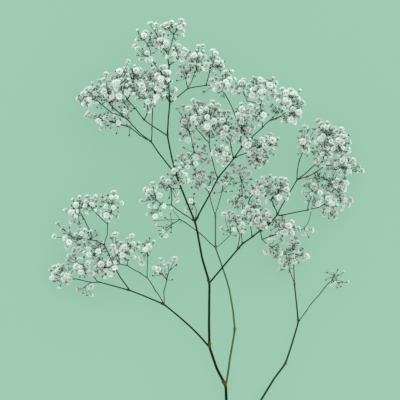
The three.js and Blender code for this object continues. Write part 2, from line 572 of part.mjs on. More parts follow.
// The next fork lies part of the way to its florets, where its twigs clear the other sprays.
function nextFork(owner, fork, group) {
  const centre = middle(group);
  const nearest = Math.min(...group.map((f) => distance(f.centre, fork)));
  const share = Math.min(FORK_SHARE, Math.max(LEAST_FORK_SHARE, 1 - SHORTEST_PEDICEL / nearest));
  const plain = mixed(fork, centre, share);
  let best = plain;
  let bestGap = -Infinity;
  for (let k = 0; k < FORK_TRIES; k += 1) {
    const lift = FORK_LIFT * Math.ceil(k / 2) * (k % 2 ? 1 : -1);
    const tried = [plain[0], plain[1], Math.max(LOWEST_FORK, plain[2] + lift)];
    let gap = clearance(owner, fork, tried, TWIG_RADIUS);
    for (const f of group) {
      gap = Math.min(gap, clearance(owner, tried, f.centre, PEDICEL_RADIUS));
      gap = Math.min(gap, distance(tried, f.centre) - SHORTEST_PEDICEL);
    }
    if (gap >= SEAT_GAP) return tried;
    if (gap > bestGap) {
      bestGap = gap;
      best = tried;
    }
  }
  return best;
}

const grownStems = Object.entries(STEMS).map(([name, stem]) => ({ name, ...growStem(name, stem) }));

// The hand-laid twigs come first, then every floret, then the finer twigs that reach the florets.
for (const [name, arms] of Object.entries(SPRAYS)) {
  const [first] = arms;
  for (const arm of arms) {
    const together = distance(arm.twig[0], first.twig[0]) < SEAT_STEP;
    if (arm === first) arm.points = seatedPath(name, arm.twig, TWIG_RADIUS);
    else arm.points = [together ? first.points[0] : arm.twig[0], ...arm.twig.slice(1)];
    for (let k = 0; k + 1 < arm.points.length; k += 1) {
      addTube(name, arm.points[k], arm.points[k + 1], TWIG_RADIUS, TWIG_RADIUS);
    }
  }
}
let turn = 0;
for (const [name, arms] of Object.entries(SPRAYS)) {
  for (const arm of arms) {
    arm.heads = placeFlorets(name, arm, turn);
    turn += arm.florets.length;
  }
}
for (const [name, arms] of Object.entries(SPRAYS)) {
  for (const arm of arms) growShoot(name, arm.points, arm.heads, arm !== arms[0]);
}

// From the plan to the part's own frame.
const toFrame = ([x, y, z]) => new THREE.Vector3(x - PLAN_CENTRE[0], PLAN_CENTRE[1] - y, z);

// Only positions, with shared vertices merged and collapsed triangles left out.
function mergedGeometry(geometry) {
  const bare = geometry.index ? geometry.toNonIndexed() : geometry;
  const merged = mergeVertices(new THREE.BufferGeometry().setAttribute('position', bare.attributes.position));
  const kept = [];
  for (let i = 0; i < merged.index.count; i += 3) {
    const [a, b, c] = [0, 1, 2].map((k) => merged.index.getX(i + k));
    if (a !== b && b !== c && c !== a) kept.push(a, b, c);
  }
  merged.setIndex(kept);
  return merged;
}

// A tapered tube through rings of { point, radius }, drawn to a point at its start and its end:
// a turned profile, bent along the rings.
function tubeGeometry(start, rings, end, sides) {
  const profile = [new THREE.Vector2(0, 0)];
  rings.forEach(({ radius }, i) => profile.push(new THREE.Vector2(radius, i + 1)));
  profile.push(new THREE.Vector2(0, rings.length + 1));
  const geometry = new THREE.LatheGeometry(profile, sides);
  const centres = [start, ...rings.map(({ point }) => point), end];
  const frames = framesAlong(centres);
  const position = geometry.attributes.position;
  for (let i = 0; i < position.count; i += 1) {
    const station = Math.round(position.getY(i));
    const vertex = centres[station].clone();
    vertex.addScaledVector(frames[station].side, position.getX(i));
    vertex.addScaledVector(frames[station].top, position.getZ(i));
    position.setXYZ(i, vertex.x, vertex.y, vertex.z);
  }
  return mergedGeometry(geometry);
}

// Cross-section directions at each point of a path, carried on without twist.
function framesAlong(centres) {
  let side = new THREE.Vector3(0, 0, 1);
  return centres.map((centre, i) => {
    const before = centres[Math.max(0, i - 1)];
    const after = centres[Math.min(centres.length - 1, i + 1)];
    const along = after.clone().sub(before).normalize();
    if (i === 0 && Math.abs(along.z) > STEEP) side = new THREE.Vector3(1, 0, 0);
    side = side.clone().addScaledVector(along, -side.dot(along)).normalize();
    return { side, top: new THREE.Vector3().crossVectors(side, along) };
  });
}

// Points drawn out beyond either end of a path.
function noses(points, startRadius, endRadius) {
  const last = points.length - 1;
  const back = points[0].clone().sub(points[1]).setLength(NOSE * startRadius);
  const on = points[last].clone().sub(points[last - 1]).setLength(NOSE * endRadius);
  return [points[0].clone().add(back), points[last].clone().add(on)];
}

function stemGeometry({ points, radii }) {
  const centres = points.map(toFrame);
  const [start, end] = noses(centres, radii[0], radii[radii.length - 1]);
  return tubeGeometry(start, centres.map((point, i) => ({ point, radius: radii[i] })), end, STEM_SIDES);
}

// A shoot's twig widens from its pedicel to the floret's rim and closes in a blunt cone of petals.
function shootGeometry({ points, floret, heading, side }) {
  const centres = points.map(toFrame);
  const last = points.length - 1;
  const rings = centres.map((point, i) => (
    { point, radius: TWIG_RADIUS + ((PEDICEL_RADIUS - TWIG_RADIUS) * i) / last }));
  rings.push({ point: toFrame(add(floret.centre, scaled(heading, PETAL_RISE))), radius: FLORET_RADIUS });
  const apex = toFrame(add(floret.centre, scaled(heading, FLORET_DOME)));
  if (side) return tubeGeometry(centres[0], rings.slice(1), apex, SHOOT_SIDES);
  return tubeGeometry(noses(centres, TWIG_RADIUS, 0)[0], rings, apex, SHOOT_SIDES);
}

function solid(geometry) {
  const vertProperties = new Float32Array(geometry.attributes.position.array);
  const triVerts = new Uint32Array(geometry.index.array);
  return new wasm.Manifold(new wasm.Mesh({ numProp: 3, vertProperties, triVerts }));
}

// Florets that touch can close off a pocket of air between them. It is filled.
function withoutPockets(body) {
  const shells = body.decompose().filter((shell) => shell.volume() > 0);
  return wasm.Manifold.union(shells);
}

function geometryOf(body) {
  const { vertProperties, triVerts } = body.getMesh();
  const geometry = new THREE.BufferGeometry();
  geometry.setAttribute('position', new THREE.BufferAttribute(new Float32Array(vertProperties), 3));
  geometry.setIndex([...triVerts]);
  return geometry;
}

const plant = new THREE.Group();

function addNode(name, geometry, colour, roughness) {
  const material = new THREE.MeshStandardMaterial({ color: colour, roughness, metalness: 0 });
  const mesh = new THREE.Mesh(geometry, material);
  mesh.name = name;
  plant.add(mesh);
}

for (const stem of grownStems) {
  const colour = stem.name === 'second_stem' ? SECOND_STEM_COLOUR : STEM_COLOUR;
  addNode(stem.name, stemGeometry(stem), colour, STEM_ROUGHNESS);
}

for (const name of Object.keys(SPRAYS)) {
  const own = shoots.filter((shoot) => shoot.owner === name);
  const spray = wasm.Manifold.union(own.map((shoot) => solid(shootGeometry(shoot))));
  addNode(name, geometryOf(withoutPockets(spray)), SPRAY_COLOUR, SPRAY_ROUGHNESS);
}

export default plant;
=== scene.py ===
"""Dresses a cut gypsophila stem: woody stems, fine twigs, double florets, buds and bracts.

The plant grows from the same plan as its packed parts, in millimetres, and is meshed in metres.
"""
import functools
import math
import random
from collections import namedtuple

import bpy
import numpy as np
from bpy.props import FloatProperty, FloatVectorProperty, PointerProperty
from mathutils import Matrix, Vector


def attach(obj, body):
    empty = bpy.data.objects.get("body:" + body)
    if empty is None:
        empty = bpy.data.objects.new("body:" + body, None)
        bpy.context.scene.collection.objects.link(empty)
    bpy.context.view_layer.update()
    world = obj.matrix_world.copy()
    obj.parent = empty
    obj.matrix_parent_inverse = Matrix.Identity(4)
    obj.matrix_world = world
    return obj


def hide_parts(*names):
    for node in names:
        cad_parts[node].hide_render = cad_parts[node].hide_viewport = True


bl_info = {
    "name": "Gypsophila stem",
    "version": (1, 0, 0),
    "blender": (4, 5, 0),
    "location": "View3D > Sidebar > Gypsophila",
    "description": "Dresses a cut gypsophila stem with twigs, florets, buds and bracts",
    "category": "Add Mesh",
}

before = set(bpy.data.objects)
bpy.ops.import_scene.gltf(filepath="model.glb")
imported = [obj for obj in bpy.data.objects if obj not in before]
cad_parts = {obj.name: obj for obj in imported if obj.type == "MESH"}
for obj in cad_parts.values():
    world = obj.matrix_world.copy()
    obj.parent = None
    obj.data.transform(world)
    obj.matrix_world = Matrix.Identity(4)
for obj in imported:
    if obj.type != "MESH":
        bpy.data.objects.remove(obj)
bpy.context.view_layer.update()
BODY = "root"
MM = 0.001
SEED = 41

# The plan: x runs to the right and y down from the tip, both in mm, and z is the height.
# PLAN_CENTRE is the plan's point that lies at the part's origin.
PLAN_CENTRE = (207.5, 260.4)

# Stems, from their thick end to their thin one: radius at either end, then the path.
STEMS = {
    "main_stem": ((1.6, 0.5), [
        (229.5, 500, 1.65), (228.6, 478, 2.8), (227.8, 455, 5), (227.3, 425, 8), (226, 387, 13),
        (217, 370, 15.5), (209.5, 348, 20), (209, 325, 25.5), (209.5, 283, 33), (202, 258, 38),
        (197, 230, 43), (195, 222, 44.5), (184, 195, 49), (176, 174.5, 51.5), (171, 154, 53.5),
        (167.5, 136, 55), (168.5, 118, 55.8), (170, 103.5, 56), (168.5, 80, 56), (169.3, 66, 55.6),
        (168, 60, 55.3)]),
    "second_stem": ((1.05, 0.55), [
        (226, 387, 13), (228.5, 372, 15), (230, 360, 17), (233.5, 340, 21), (235, 330, 23),
        (233.3, 312, 26), (229.5, 290, 29), (227.3, 282, 30), (220, 260, 32.5), (215.5, 248, 34),
        (215.5, 216, 31)]),
    "right_stem": ((1.25, 0.6), [
        (227.8, 455, 5), (245, 427, 7), (262.5, 400, 8.5), (275, 379.5, 9.5), (286, 365, 11),
        (291, 350, 12), (297, 330, 13.5), (299, 323, 14), (297.5, 308, 15.5), (295, 285, 17)]),
    "left_branch": ((0.9, 0.5), [
        (209.5, 348, 20), (200, 337, 19.5), (190, 327, 19), (178, 316.5, 18.5), (164, 305, 18),
        (145, 297, 17), (129.5, 291, 16), (115, 287, 15), (98, 282.5, 13.5)]),
    "left_upper_twig": ((0.6, 0.45), [
        (129.5, 291, 16), (120, 278, 20), (114, 267, 23), (107.5, 252, 27), (104, 245, 28)]),
    "upper_left_branch": ((0.7, 0.45), [
        (176, 174.5, 51.5), (169, 166, 52), (158, 152, 52), (151.5, 142, 51), (140, 133.5, 47),
        (127.5, 119.5, 42)]),
    "upper_left_inner": ((0.55, 0.42), [
        (167.5, 136, 55), (160, 131, 56), (153, 126.5, 57), (144.5, 120.5, 58), (135, 108, 59),
        (128.5, 101, 60)]),
    "top_right_twig": ((0.55, 0.42), [
        (170, 103.5, 56), (175, 99.5, 53), (188, 88.5, 44), (197, 86.5, 36), (206, 85, 28)]),
    "right_diagonal": ((0.8, 0.45), [
        (195, 222, 44.5), (201, 210, 49), (205, 203, 52), (210, 194, 55), (217.5, 178.5, 60),
        (233.5, 159, 65), (241, 148, 67), (252, 137, 68), (262, 128, 68)]),
    "right_branch": ((0.85, 0.55), [
        (209.5, 283, 33), (222, 268, 38), (237, 250, 42), (242, 244, 43), (252, 237, 44), (260, 230.5, 44),
        (266, 227, 43.5), (272, 221, 43), (277, 215, 42)]),
    "upper_right_twig": ((0.55, 0.45), [
        (277, 215, 42), (281, 207, 41), (290, 192, 38), (297, 180, 36)]),
    "right_twig": ((0.55, 0.42), [
        (277, 215, 42), (281, 215.5, 41), (290, 213.5, 37), (308, 210, 27)]),
    "far_upper_twig": ((0.5, 0.4), [
        (297, 180, 36), (305, 174, 36), (319, 161, 35), (323, 158, 35), (332, 147, 34)]),
}

# Sprays, arm by arm: the path of its twig, then where its florets stand, whose heights come of growth.
SPRAYS = {
    "crown_spray": [
        ([(168, 60, 55.3), (167.5, 54.5, 55), (164, 49.5, 54)], [(163, 46), (165, 39), (158, 38), (161, 33),
         (157, 45), (152, 46), (156, 25), (150, 25), (167, 45), (154, 39), (150, 43), (159, 41)]),
        ([(168, 60, 55.3), (169, 52, 58), (172.5, 41, 60), (174, 35, 61)], [(162, 28), (169, 29), (176, 26),
         (182, 22), (181, 29), (166, 26), (172, 27)])],
    "top_left_spray": [
        ([(168.5, 80, 56), (159, 70, 57), (152.5, 61, 57), (150.5, 58.5, 57)], [(135, 47), (144, 56),
         (137, 50), (147, 54)]),
        ([(150.5, 58.5, 57), (150.5, 51, 58), (149, 47, 58), (144.5, 41, 58)], [(141, 40), (144, 36),
         (146, 33)])],
    "upper_middle_spray": [
        ([(170, 103.5, 56), (167, 97, 59), (164, 90, 61)], [(163, 99), (160, 91), (165, 84), (161, 81),
         (166, 78), (162, 75), (157, 77), (161, 68), (153, 70), (157, 86), (167, 98), (165, 67), (166, 73),
         (158, 72)])],
    "top_inner_spray": [
        ([(169.3, 66, 55.6), (173, 63.5, 58), (176.5, 60.5, 59)], [(174, 56), (176, 46), (184, 55),
         (189, 57), (179, 46), (187, 52), (180, 53)])],
    "top_right_spray": [
        ([(188, 88.5, 44), (186.5, 84, 45), (186, 79, 46)], [(186, 74), (177, 75), (180, 66), (186, 64),
         (191, 65)]),
        ([(188, 88.5, 44), (190, 85, 46), (193, 78, 49), (196.5, 70.5, 51)], [(197, 52), (199, 47),
         (205, 57), (194, 56), (203, 46), (192, 62)])],
    "top_right_far_spray": [
        ([(206, 85, 28), (207.5, 80, 23), (209.5, 71, 13)], [(206, 65), (213, 50), (211, 57), (218, 62),
         (217, 67), (216, 52), (222, 62)]),
        ([(206, 85, 28), (213, 85.3, 26)], [(216, 79), (219, 86), (212, 80)])],
    "upper_left_west_spray": [
        ([(127.5, 119.5, 42), (122, 116.5, 42), (112, 113, 42), (100, 103, 43)], [(81, 102), (86, 104),
         (82, 94), (86, 90), (89, 96), (94, 88), (95, 94), (84, 99), (90, 89), (98, 86), (99, 97),
         (89, 101)]),
        ([(127.5, 119.5, 42), (115, 109.5, 47), (110, 104, 50)], [(100, 82), (106, 74), (104, 86),
         (110, 81), (104, 93), (110, 95), (113, 103), (113, 87), (116, 106), (117, 102), (104, 80),
         (101, 91)]),
        ([(127.5, 119.5, 42), (128, 109, 45)], [(125, 113), (130, 104), (124, 103), (122, 115)])],
    "upper_left_low_spray": [
        ([(151.5, 142, 51), (146, 139, 46), (140, 135.5, 42), (130, 127.5, 35.5)], [(98, 118), (88, 114),
         (104, 115), (107, 126), (119, 124), (94, 116), (107, 112), (105, 119), (112, 122), (98, 122),
         (85, 116)])],
    "upper_left_middle_spray": [
        ([(128.5, 101, 60), (124, 93, 62), (121.5, 90, 63)], [(117, 78), (120, 72), (127, 69), (118, 84),
         (122, 80), (126, 84), (115, 95), (129, 62), (125, 90), (119, 90), (124, 73), (120, 99),
         (113, 79)]),
        ([(128.5, 101, 60), (130.5, 95, 58), (130.5, 89, 57)], [(134, 75), (137, 71), (134, 86), (138, 80),
         (142, 83), (132, 70), (127, 95), (141, 70), (132, 79), (138, 87), (137, 76)])],
    "upper_left_inner_spray": [
        ([(144.5, 120.5, 58), (147, 115, 60), (148, 110, 61), (147, 102, 62), (144, 97, 63)], [(143, 90),
         (145, 95), (150, 91), (148, 104), (134, 92), (151, 107), (140, 93), (147, 91), (142, 86)])],
    "upper_left_rising_spray": [
        ([(151.5, 142, 51), (152, 128, 47), (152.5, 114, 45), (153, 105, 44), (155, 100, 43),
         (157, 96, 42)], [(146, 77), (145, 72), (148, 84), (154, 94), (157, 99), (150, 74), (150, 79),
         (152, 86), (155, 80), (143, 76)])],
    "centre_left_spray": [
        ([(176, 174.5, 51.5), (180, 170, 50), (185, 164.5, 48)], [(188, 162), (192, 165), (178, 157),
         (181, 156)]),
        ([(185, 164.5, 48), (191, 155.5, 46), (194, 152.5, 45)], [(198, 154), (196, 159), (206, 161),
         (203, 151), (201, 157), (209, 163)]),
        ([(194, 152.5, 45), (192.5, 144, 44), (190.5, 136, 43)], [(184, 122), (185, 127), (190, 126),
         (188, 142), (177, 108), (183, 106), (188, 122), (181, 119)])],
    "centre_rising_spray": [
        ([(217.5, 178.5, 60), (213.5, 165, 62), (209, 143, 64), (204, 138, 65), (196, 129, 67)],
         [(193, 120), (197, 113), (199, 104), (188, 109), (200, 125), (193, 101), (195, 106), (203, 105),
         (201, 112)]),
        ([(209, 143, 64), (209.5, 137, 63), (210, 129, 62)], [(206, 115), (211, 115), (209, 107),
         (213, 103), (214, 122), (212, 127), (215, 111), (218, 106), (208, 134), (207, 129), (219, 115),
         (204, 121)])],
    "centre_fan_spray": [
        ([(233.5, 159, 65), (231, 148, 64), (230, 141, 63), (226, 136, 62)], [(222, 121), (225, 125),
         (221, 132), (223, 137), (224, 113), (229, 112), (218, 127), (219, 135), (226, 129)]),
        ([(230, 141, 63), (231.5, 136, 60)], [(233, 128), (234, 134)])],
    "centre_low_spray": [
        ([(233.5, 159, 65), (226, 151, 67)], [(213, 155), (220, 153), (225, 155), (227, 162), (224, 166),
         (217, 157)])],
    "centre_upper_spray": [
        ([(241, 148, 67), (240.5, 140, 69), (241, 129, 71)], [(237, 110), (238, 116), (247, 111),
         (251, 107), (249, 118), (239, 126), (243, 132), (248, 131), (241, 110), (242, 116), (252, 132),
         (244, 136)])],
    "centre_shaded_spray": [
        ([(233.5, 159, 65), (241, 155, 64), (252, 151, 63)], [(243, 145), (257, 141), (262, 141),
         (267, 138), (271, 135), (273, 141), (270, 146), (276, 146), (264, 147), (255, 147), (247, 146)]),
        ([(252, 151, 63), (256, 155, 60)], [(252, 158), (256, 161), (260, 158), (265, 153), (263, 163),
         (259, 167), (267, 158), (260, 152), (253, 164)])],
    "upper_rising_spray": [
        ([(241, 129, 71), (238, 125, 69), (233, 111, 65), (229, 102, 61), (225, 95, 57), (223, 91, 55)],
         [(222, 81), (226, 72), (229, 76), (228, 86), (226, 91), (223, 96), (226, 82), (230, 80)])],
    "upper_right_crown": [
        ([(262, 128, 68), (261, 118, 70), (260, 106, 72), (258, 91, 74)], [(252, 83), (260, 80), (248, 87),
         (251, 98), (261, 88), (256, 81), (255, 97)]),
        ([(260, 106, 72), (263, 97, 70), (264.5, 91, 69)], [(264, 84), (270, 87), (268, 95), (268, 83),
         (274, 88), (272, 97)]),
        ([(261, 118, 70), (259, 114, 66)], [(262, 113), (254, 114), (255, 119), (264, 117), (252, 121)]),
        ([(260, 106, 72), (253, 103, 67), (247, 102, 63), (242.5, 92, 59)], [(236, 89), (241, 83),
         (239, 91), (245, 86), (247, 99)])],
    "upper_far_spray": [
        ([(262, 128, 68), (270, 120.5, 66), (280, 117, 64)], [(273, 112), (277, 102), (282, 90), (279, 96),
         (286, 93), (290, 97), (285, 101), (289, 104), (276, 114)]),
        ([(280, 117, 64), (287, 112, 62)], [(294, 94), (298, 98), (297, 105), (293, 109), (303, 104),
         (299, 114), (286, 120), (294, 117), (290, 122), (290, 91)])],
    "right_upper_spray": [
        ([(297, 180, 36), (297.3, 172, 37), (299.5, 160, 38), (303, 152, 39)], [(302, 142), (303, 147),
         (301, 131), (305, 127), (308, 137), (315, 129), (308, 151), (313, 153)])],
    "right_crown_spray": [
        ([(332, 147, 34), (330, 142, 36)], [(326, 127), (322, 131), (326, 134), (322, 137), (318, 121),
         (332, 131), (325, 145), (330, 126), (319, 140), (321, 124), (330, 136)]),
        ([(332, 147, 34), (336, 144, 33)], [(338, 136), (345, 133), (342, 143), (340, 148), (346, 153),
         (342, 156), (336, 153), (342, 137), (336, 131), (345, 146), (338, 141)])],
    "right_inner_spray": [
        ([(323, 158, 35), (325, 155.5, 38)], [(320, 151), (328, 152), (331, 156), (317, 163), (324, 153),
         (318, 167)])],
    "far_right_spray": [
        ([(297, 180, 36), (309, 176, 30), (317, 171.5, 26), (325, 165.5, 22), (335.5, 164.5, 19)],
         [(336, 170), (342, 161), (355, 160), (360, 167), (363, 172), (344, 169), (350, 173), (340, 174),
         (346, 178), (346, 160)]),
        ([(317, 171.5, 26), (320, 177, 22), (328, 179.5, 18)], [(334, 181), (330, 187), (336, 187),
         (341, 183), (348, 184), (333, 193), (339, 192), (345, 190), (316, 178), (306, 178)])],
    "right_low_spray": [
        ([(308, 210, 27), (309, 203, 27), (312.5, 193.5, 27)], [(315, 186), (316, 193), (321, 194),
         (316, 202), (309, 186), (319, 205)])],
    "far_low_spray": [
        ([(308, 210, 27), (312, 209, 25), (320, 207, 22), (325, 204, 20)], [(325, 197), (332, 204),
         (328, 211), (332, 215), (329, 199), (334, 208), (335, 218)]),
        ([(325, 204, 20), (330, 200.8, 17), (341, 200.5, 14)], [(349, 206), (352, 201), (345, 196),
         (339, 196)]),
        ([(312, 209, 25), (309, 222, 20), (305, 228, 17)], [(302, 231), (304, 235)])],
    "middle_right_spray": [
        ([(277, 215, 42), (276, 210, 45), (273, 205, 47), (271, 199, 49)], [(267, 193), (281, 179),
         (286, 186), (279, 192), (279, 199), (277, 205), (270, 191), (285, 180), (282, 186), (287, 190)])],
    "middle_high_spray": [
        ([(252, 237, 44), (250.5, 226, 46), (250, 221, 47), (248.5, 202, 48), (250, 198, 48),
         (256, 192, 48), (262, 188, 48)], [(256, 186), (266, 178), (264, 183), (268, 188), (257, 194),
         (262, 194), (253, 189), (262, 178)]),
        ([(250, 221, 47), (253, 215, 49)], [(246, 213), (254, 208), (257, 212), (258, 202), (247, 208),
         (249, 216), (260, 206)])],
    "centre_right_spray": [
        ([(242, 244, 43), (241.5, 235, 40), (242.5, 218, 34), (242.5, 203, 31)], [(243, 200), (236, 203),
         (247, 198), (232, 205), (239, 199)]),
        ([(242.5, 203, 31), (242, 190, 29), (240.5, 177, 27)], [(245, 173), (250, 173), (236, 184),
         (238, 170), (232, 165), (246, 167), (246, 192)])],
    "centre_near_spray": [
        ([(237, 250, 42), (240, 234, 45), (237, 229, 46)], [(236, 222), (243, 225), (238, 217), (245, 220),
         (232, 213), (240, 221)])],
    "middle_near_spray": [
        ([(266, 227, 43.5), (263, 223, 47)], [(256, 221), (264, 220), (262, 215), (268, 214), (268, 224),
         (260, 222), (258, 216), (270, 218), (253, 222), (266, 210)])],
    "lower_right_spray": [
        ([(260, 230.5, 44), (262, 239.5, 38), (270, 236.5, 34), (280, 233, 31)], [(276, 222), (282, 225),
         (276, 227), (289, 226), (293, 222), (295, 228), (285, 234), (279, 219), (285, 222), (291, 230),
         (299, 230)]),
        ([(262, 239.5, 38), (269, 246, 31)], [(270, 241), (266, 253), (276, 251), (283, 241), (279, 248)])],
    "right_stem_spray": [
        ([(295, 285, 17), (294.3, 262, 17), (294, 257, 17)], [(292, 240), (299, 243), (294, 246),
         (289, 246), (297, 250), (303, 256), (308, 258), (290, 251), (296, 238)]),
        ([(295, 285, 17), (292, 276, 15), (290, 268.5, 14)], [(286, 262), (276, 257), (281, 262),
         (290, 261), (286, 253)])],
    "right_side_spray": [
        ([(299, 323, 14), (307, 312, 13), (315, 301, 11.5), (325, 289, 10), (333, 281, 9)], [(336, 285),
         (341, 275), (346, 272), (350, 283), (334, 271), (332, 287)])],
    "middle_left_spray": [
        ([(195, 222, 44.5), (185, 215, 45), (171.5, 205, 46), (161, 204, 46)], [(152, 198), (160, 196),
         (145, 190), (141, 202), (153, 184), (153, 214), (156, 197), (147, 194), (149, 200), (155, 218)])],
    "middle_rising_spray": [
        ([(171.5, 205, 46), (171.5, 195, 49), (171, 188, 51)], [(162, 178), (161, 184), (177, 201),
         (167, 189), (175, 184), (168, 181), (164, 187)])],
    "middle_low_spray": [
        ([(215.5, 248, 34), (210, 243, 35), (200, 233.5, 36), (186, 223, 38), (180, 219.5, 39)],
         [(172, 209), (153, 221), (158, 231), (163, 233), (161, 238), (156, 226), (166, 237), (170, 213)])],
    "stem_node_spray": [
        ([(195, 222, 44.5), (196.5, 210, 49), (193.5, 204, 51)], [(190, 201), (187, 205), (193, 199)])],
    "stem_front_spray": [
        ([(176, 174.5, 51.5), (177.5, 177, 58)], [(174, 171), (180, 183), (187, 181), (182, 174)])],
    "second_stem_spray": [
        ([(215.5, 216, 31), (213, 208, 30), (210.5, 199, 29), (208.5, 192, 28), (202, 185, 27)],
         [(194, 175), (199, 172), (204, 171), (199, 178), (197, 189)]),
        ([(208.5, 192, 28), (210, 184, 26)], [(210, 177), (213, 172)]),
        ([(215.5, 216, 31), (217.5, 208, 32), (220, 199, 33), (221.5, 192, 34)], [(222, 180), (232, 179),
         (228, 173), (226, 178)])],
    "second_side_spray": [
        ([(215.5, 248, 34), (222, 243, 35), (230.5, 235, 36)], [(224, 214), (230, 221), (229, 212)])],
    "left_outer_spray": [
        ([(98, 282.5, 13.5), (90, 283, 12.5), (78, 280, 10.5), (70, 279, 9.8)], [(57, 266), (52, 268),
         (61, 271), (52, 275), (53, 283), (66, 277), (57, 278), (50, 279)]),
        ([(98, 282.5, 13.5), (93, 277, 16), (87, 269, 19)], [(68, 257), (68, 270), (80, 273), (80, 260),
         (96, 273), (75, 267), (67, 261), (72, 256), (92, 275)]),
        ([(90, 283, 12.5), (84, 287.5, 9)], [(78, 291), (92, 288)])],
    "left_middle_spray": [
        ([(104, 245, 28), (96, 241, 29), (91, 240, 30)], [(57, 224), (62, 230), (53, 237), (68, 236),
         (69, 243), (67, 248), (79, 246), (82, 234), (86, 238), (96, 236)]),
        ([(91, 240, 30), (90, 231, 33), (84, 219, 36), (80, 212, 37)], [(72, 217), (79, 223), (80, 228),
         (75, 205), (79, 202), (71, 213), (73, 209), (82, 205)])],
    "left_crown_spray": [
        ([(104, 245, 28), (107, 235, 33), (107.5, 224, 37), (98, 215, 38), (92.5, 210, 38)], [(85, 202),
         (88, 206), (87, 197), (93, 199), (88, 200), (92, 204)]),
        ([(107.5, 224, 37), (110.5, 215, 38), (112, 208, 38)], [(105, 200), (114, 193), (117, 197),
         (112, 204), (106, 217), (116, 217), (102, 202), (103, 216)])],
    "left_low_spray": [
        ([(114, 267, 23), (100, 260, 20), (94, 256, 19)], [(95, 250), (73, 252), (89, 243), (104, 249),
         (98, 252), (93, 246), (97, 247), (77, 250)]),
        ([(114, 267, 23), (108, 268, 20)], [(104, 268), (100, 265), (96, 268), (101, 272), (110, 276),
         (97, 262)])],
    "left_inner_spray": [
        ([(164, 305, 18), (155, 291, 22), (147, 278, 27), (140, 273, 29), (127, 265.5, 33), (120, 264, 35)],
         [(115, 269), (114, 253), (117, 257), (113, 246), (116, 242), (111, 238), (115, 234), (118, 246)]),
        ([(127, 265.5, 33), (129, 258, 35)], [(122, 250), (127, 239), (130, 247), (134, 243), (132, 235),
         (125, 247), (120, 253)]),
        ([(147, 278, 27), (147.5, 262, 30), (147, 252, 31)], [(144, 245), (149, 247), (142, 264),
         (147, 243)])],
    "left_fork_spray": [
        ([(164, 305, 18), (163.5, 292, 20), (166.5, 280, 22)], [(154, 269), (160, 275), (161, 260),
         (164, 266), (175, 259), (157, 270), (168, 265)])],
}

# The sizes that the plant grows by, in mm. They match the packed solids.
FLORET_RADIUS = 3.0
CALYX_DEPTH = 2.5
PEDICEL_RADIUS = 0.24
SHORTEST_PEDICEL = 3.6
TWIG_RADIUS = 0.4
SEAT_GAP = 0.3
SEAT_STEP = 0.1
SHORTEST_SEGMENT = 0.5
FLORET_SPACING = 2 * FLORET_RADIUS + SEAT_GAP
LOWEST_FLORET = FLORET_RADIUS + SEAT_GAP
HEIGHT_STEP = 0.8
HEIGHT_TRIES = 60
OWN_TWIG_OVERLAP = 0.8
TWIG_MARGIN = 0.5
FORK_LIFT = 1.5
FORK_TRIES = 9
LOWEST_FORK = 1

# A head of florets: its least radius in mm, its depth and thickness as shares of its radius, and the
# share of a turn from one floret's depth to the next one's.
SMALLEST_HEAD = 9
HEAD_DEPTH = 0.8
HEAD_THICKNESS = 0.15
GOLDEN_TURN = 0.6180339887

# How much of the way to its florets a fork lies, and how far a tube's end reaches past its centre where
# it meets bark head on, as a share of its radius.
FORK_SHARE = 0.46
LEAST_FORK_SHARE = 0.2
NOSE = 0.6

# Young florets and buds, which have no solids of their own: how many a fork carries, and sizes in mm.
YOUNG_AT_FORK = {
    "right_side_spray": 0, "middle_low_spray": 0, "left_fork_spray": 0, "middle_rising_spray": 1,
    "top_right_spray": 3, "right_crown_spray": 3, "right_inner_spray": 3, "far_right_spray": 3,
    "other": 2,
}
YOUNG_STALK = (4.5, 12.5)
YOUNG_RADIUS = 2.1
BUDS_AT_FORK = {"right_side_spray": 4, "other": 2}
BUD_STALK = (4.0, 11.0)
BUD_RADIUS = 0.75
HEAD_TRIES = 20
HEAD_ROOM = 4.6
OPEN_RADIUS = 2.7

# How far a stalk strays from the way on, how low it leans, and which shares of its head's radius
# stay clear of open florets and of twigs.
HEAD_SPREAD = 1.3
LOWEST_LEAN = -0.2
FLORET_SHARE = 0.9
TWIG_SHARE = 0.5

MOST_ROWS = 4096
TINY = 1e-9


def unit(vector):
    return vector / math.sqrt(vector @ vector)


def distance(a, b):
    away = a - b
    return math.sqrt(away @ away)


def middle(points):
    return sum(points) / len(points)


def at_spray(table, name):
    """What a table says of this spray, or else of any other."""
    return table.get(name, table["other"])


def up_and_down(count, step):
    """0, then one step up, one down, two up, two down and so on."""
    return [step * math.ceil(k / 2) * (1 if k % 2 else -1) for k in range(count)]


def shares(along, whole):
    """Where each foot point lies on its segment, from 0 to 1."""
    return np.where(whole > TINY, np.clip(along / np.maximum(whole, TINY), 0, 1), 0)


def segment_distances(a, b, starts, ends):
    """The shortest distance between the segment a-b and each of the others."""
    u = b - a
    v = ends - starts
    w = a - starts
    uu = u @ u
    vv = (v * v).sum(1)
    uv = v @ u
    uw = w @ u
    vw = (v * w).sum(1)
    s = shares(uv * vw - vv * uw, uu * vv - uv * uv)
    t = shares(uv * s + vw, vv)
    s = shares(uv * t - uw, np.full(len(v), uu))
    t = shares(uv * s + vw, vv)
    gaps = w + s[:, None] * u - t[:, None] * v
    return np.sqrt((gaps * gaps).sum(1))


class Rows:
    """Vectors in one growing array, each with the name of the node that owns it."""

    def __init__(self, width):
        self.table = np.zeros((MOST_ROWS, width))
        self.owner = np.zeros(MOST_ROWS, dtype=object)
        self.count = 0

    def add(self, owner, values):
        self.table[self.count] = values
        self.owner[self.count] = owner
        self.count += 1

    def values(self):
        return self.table[: self.count]

    def owners(self):
        return self.owner[: self.count]


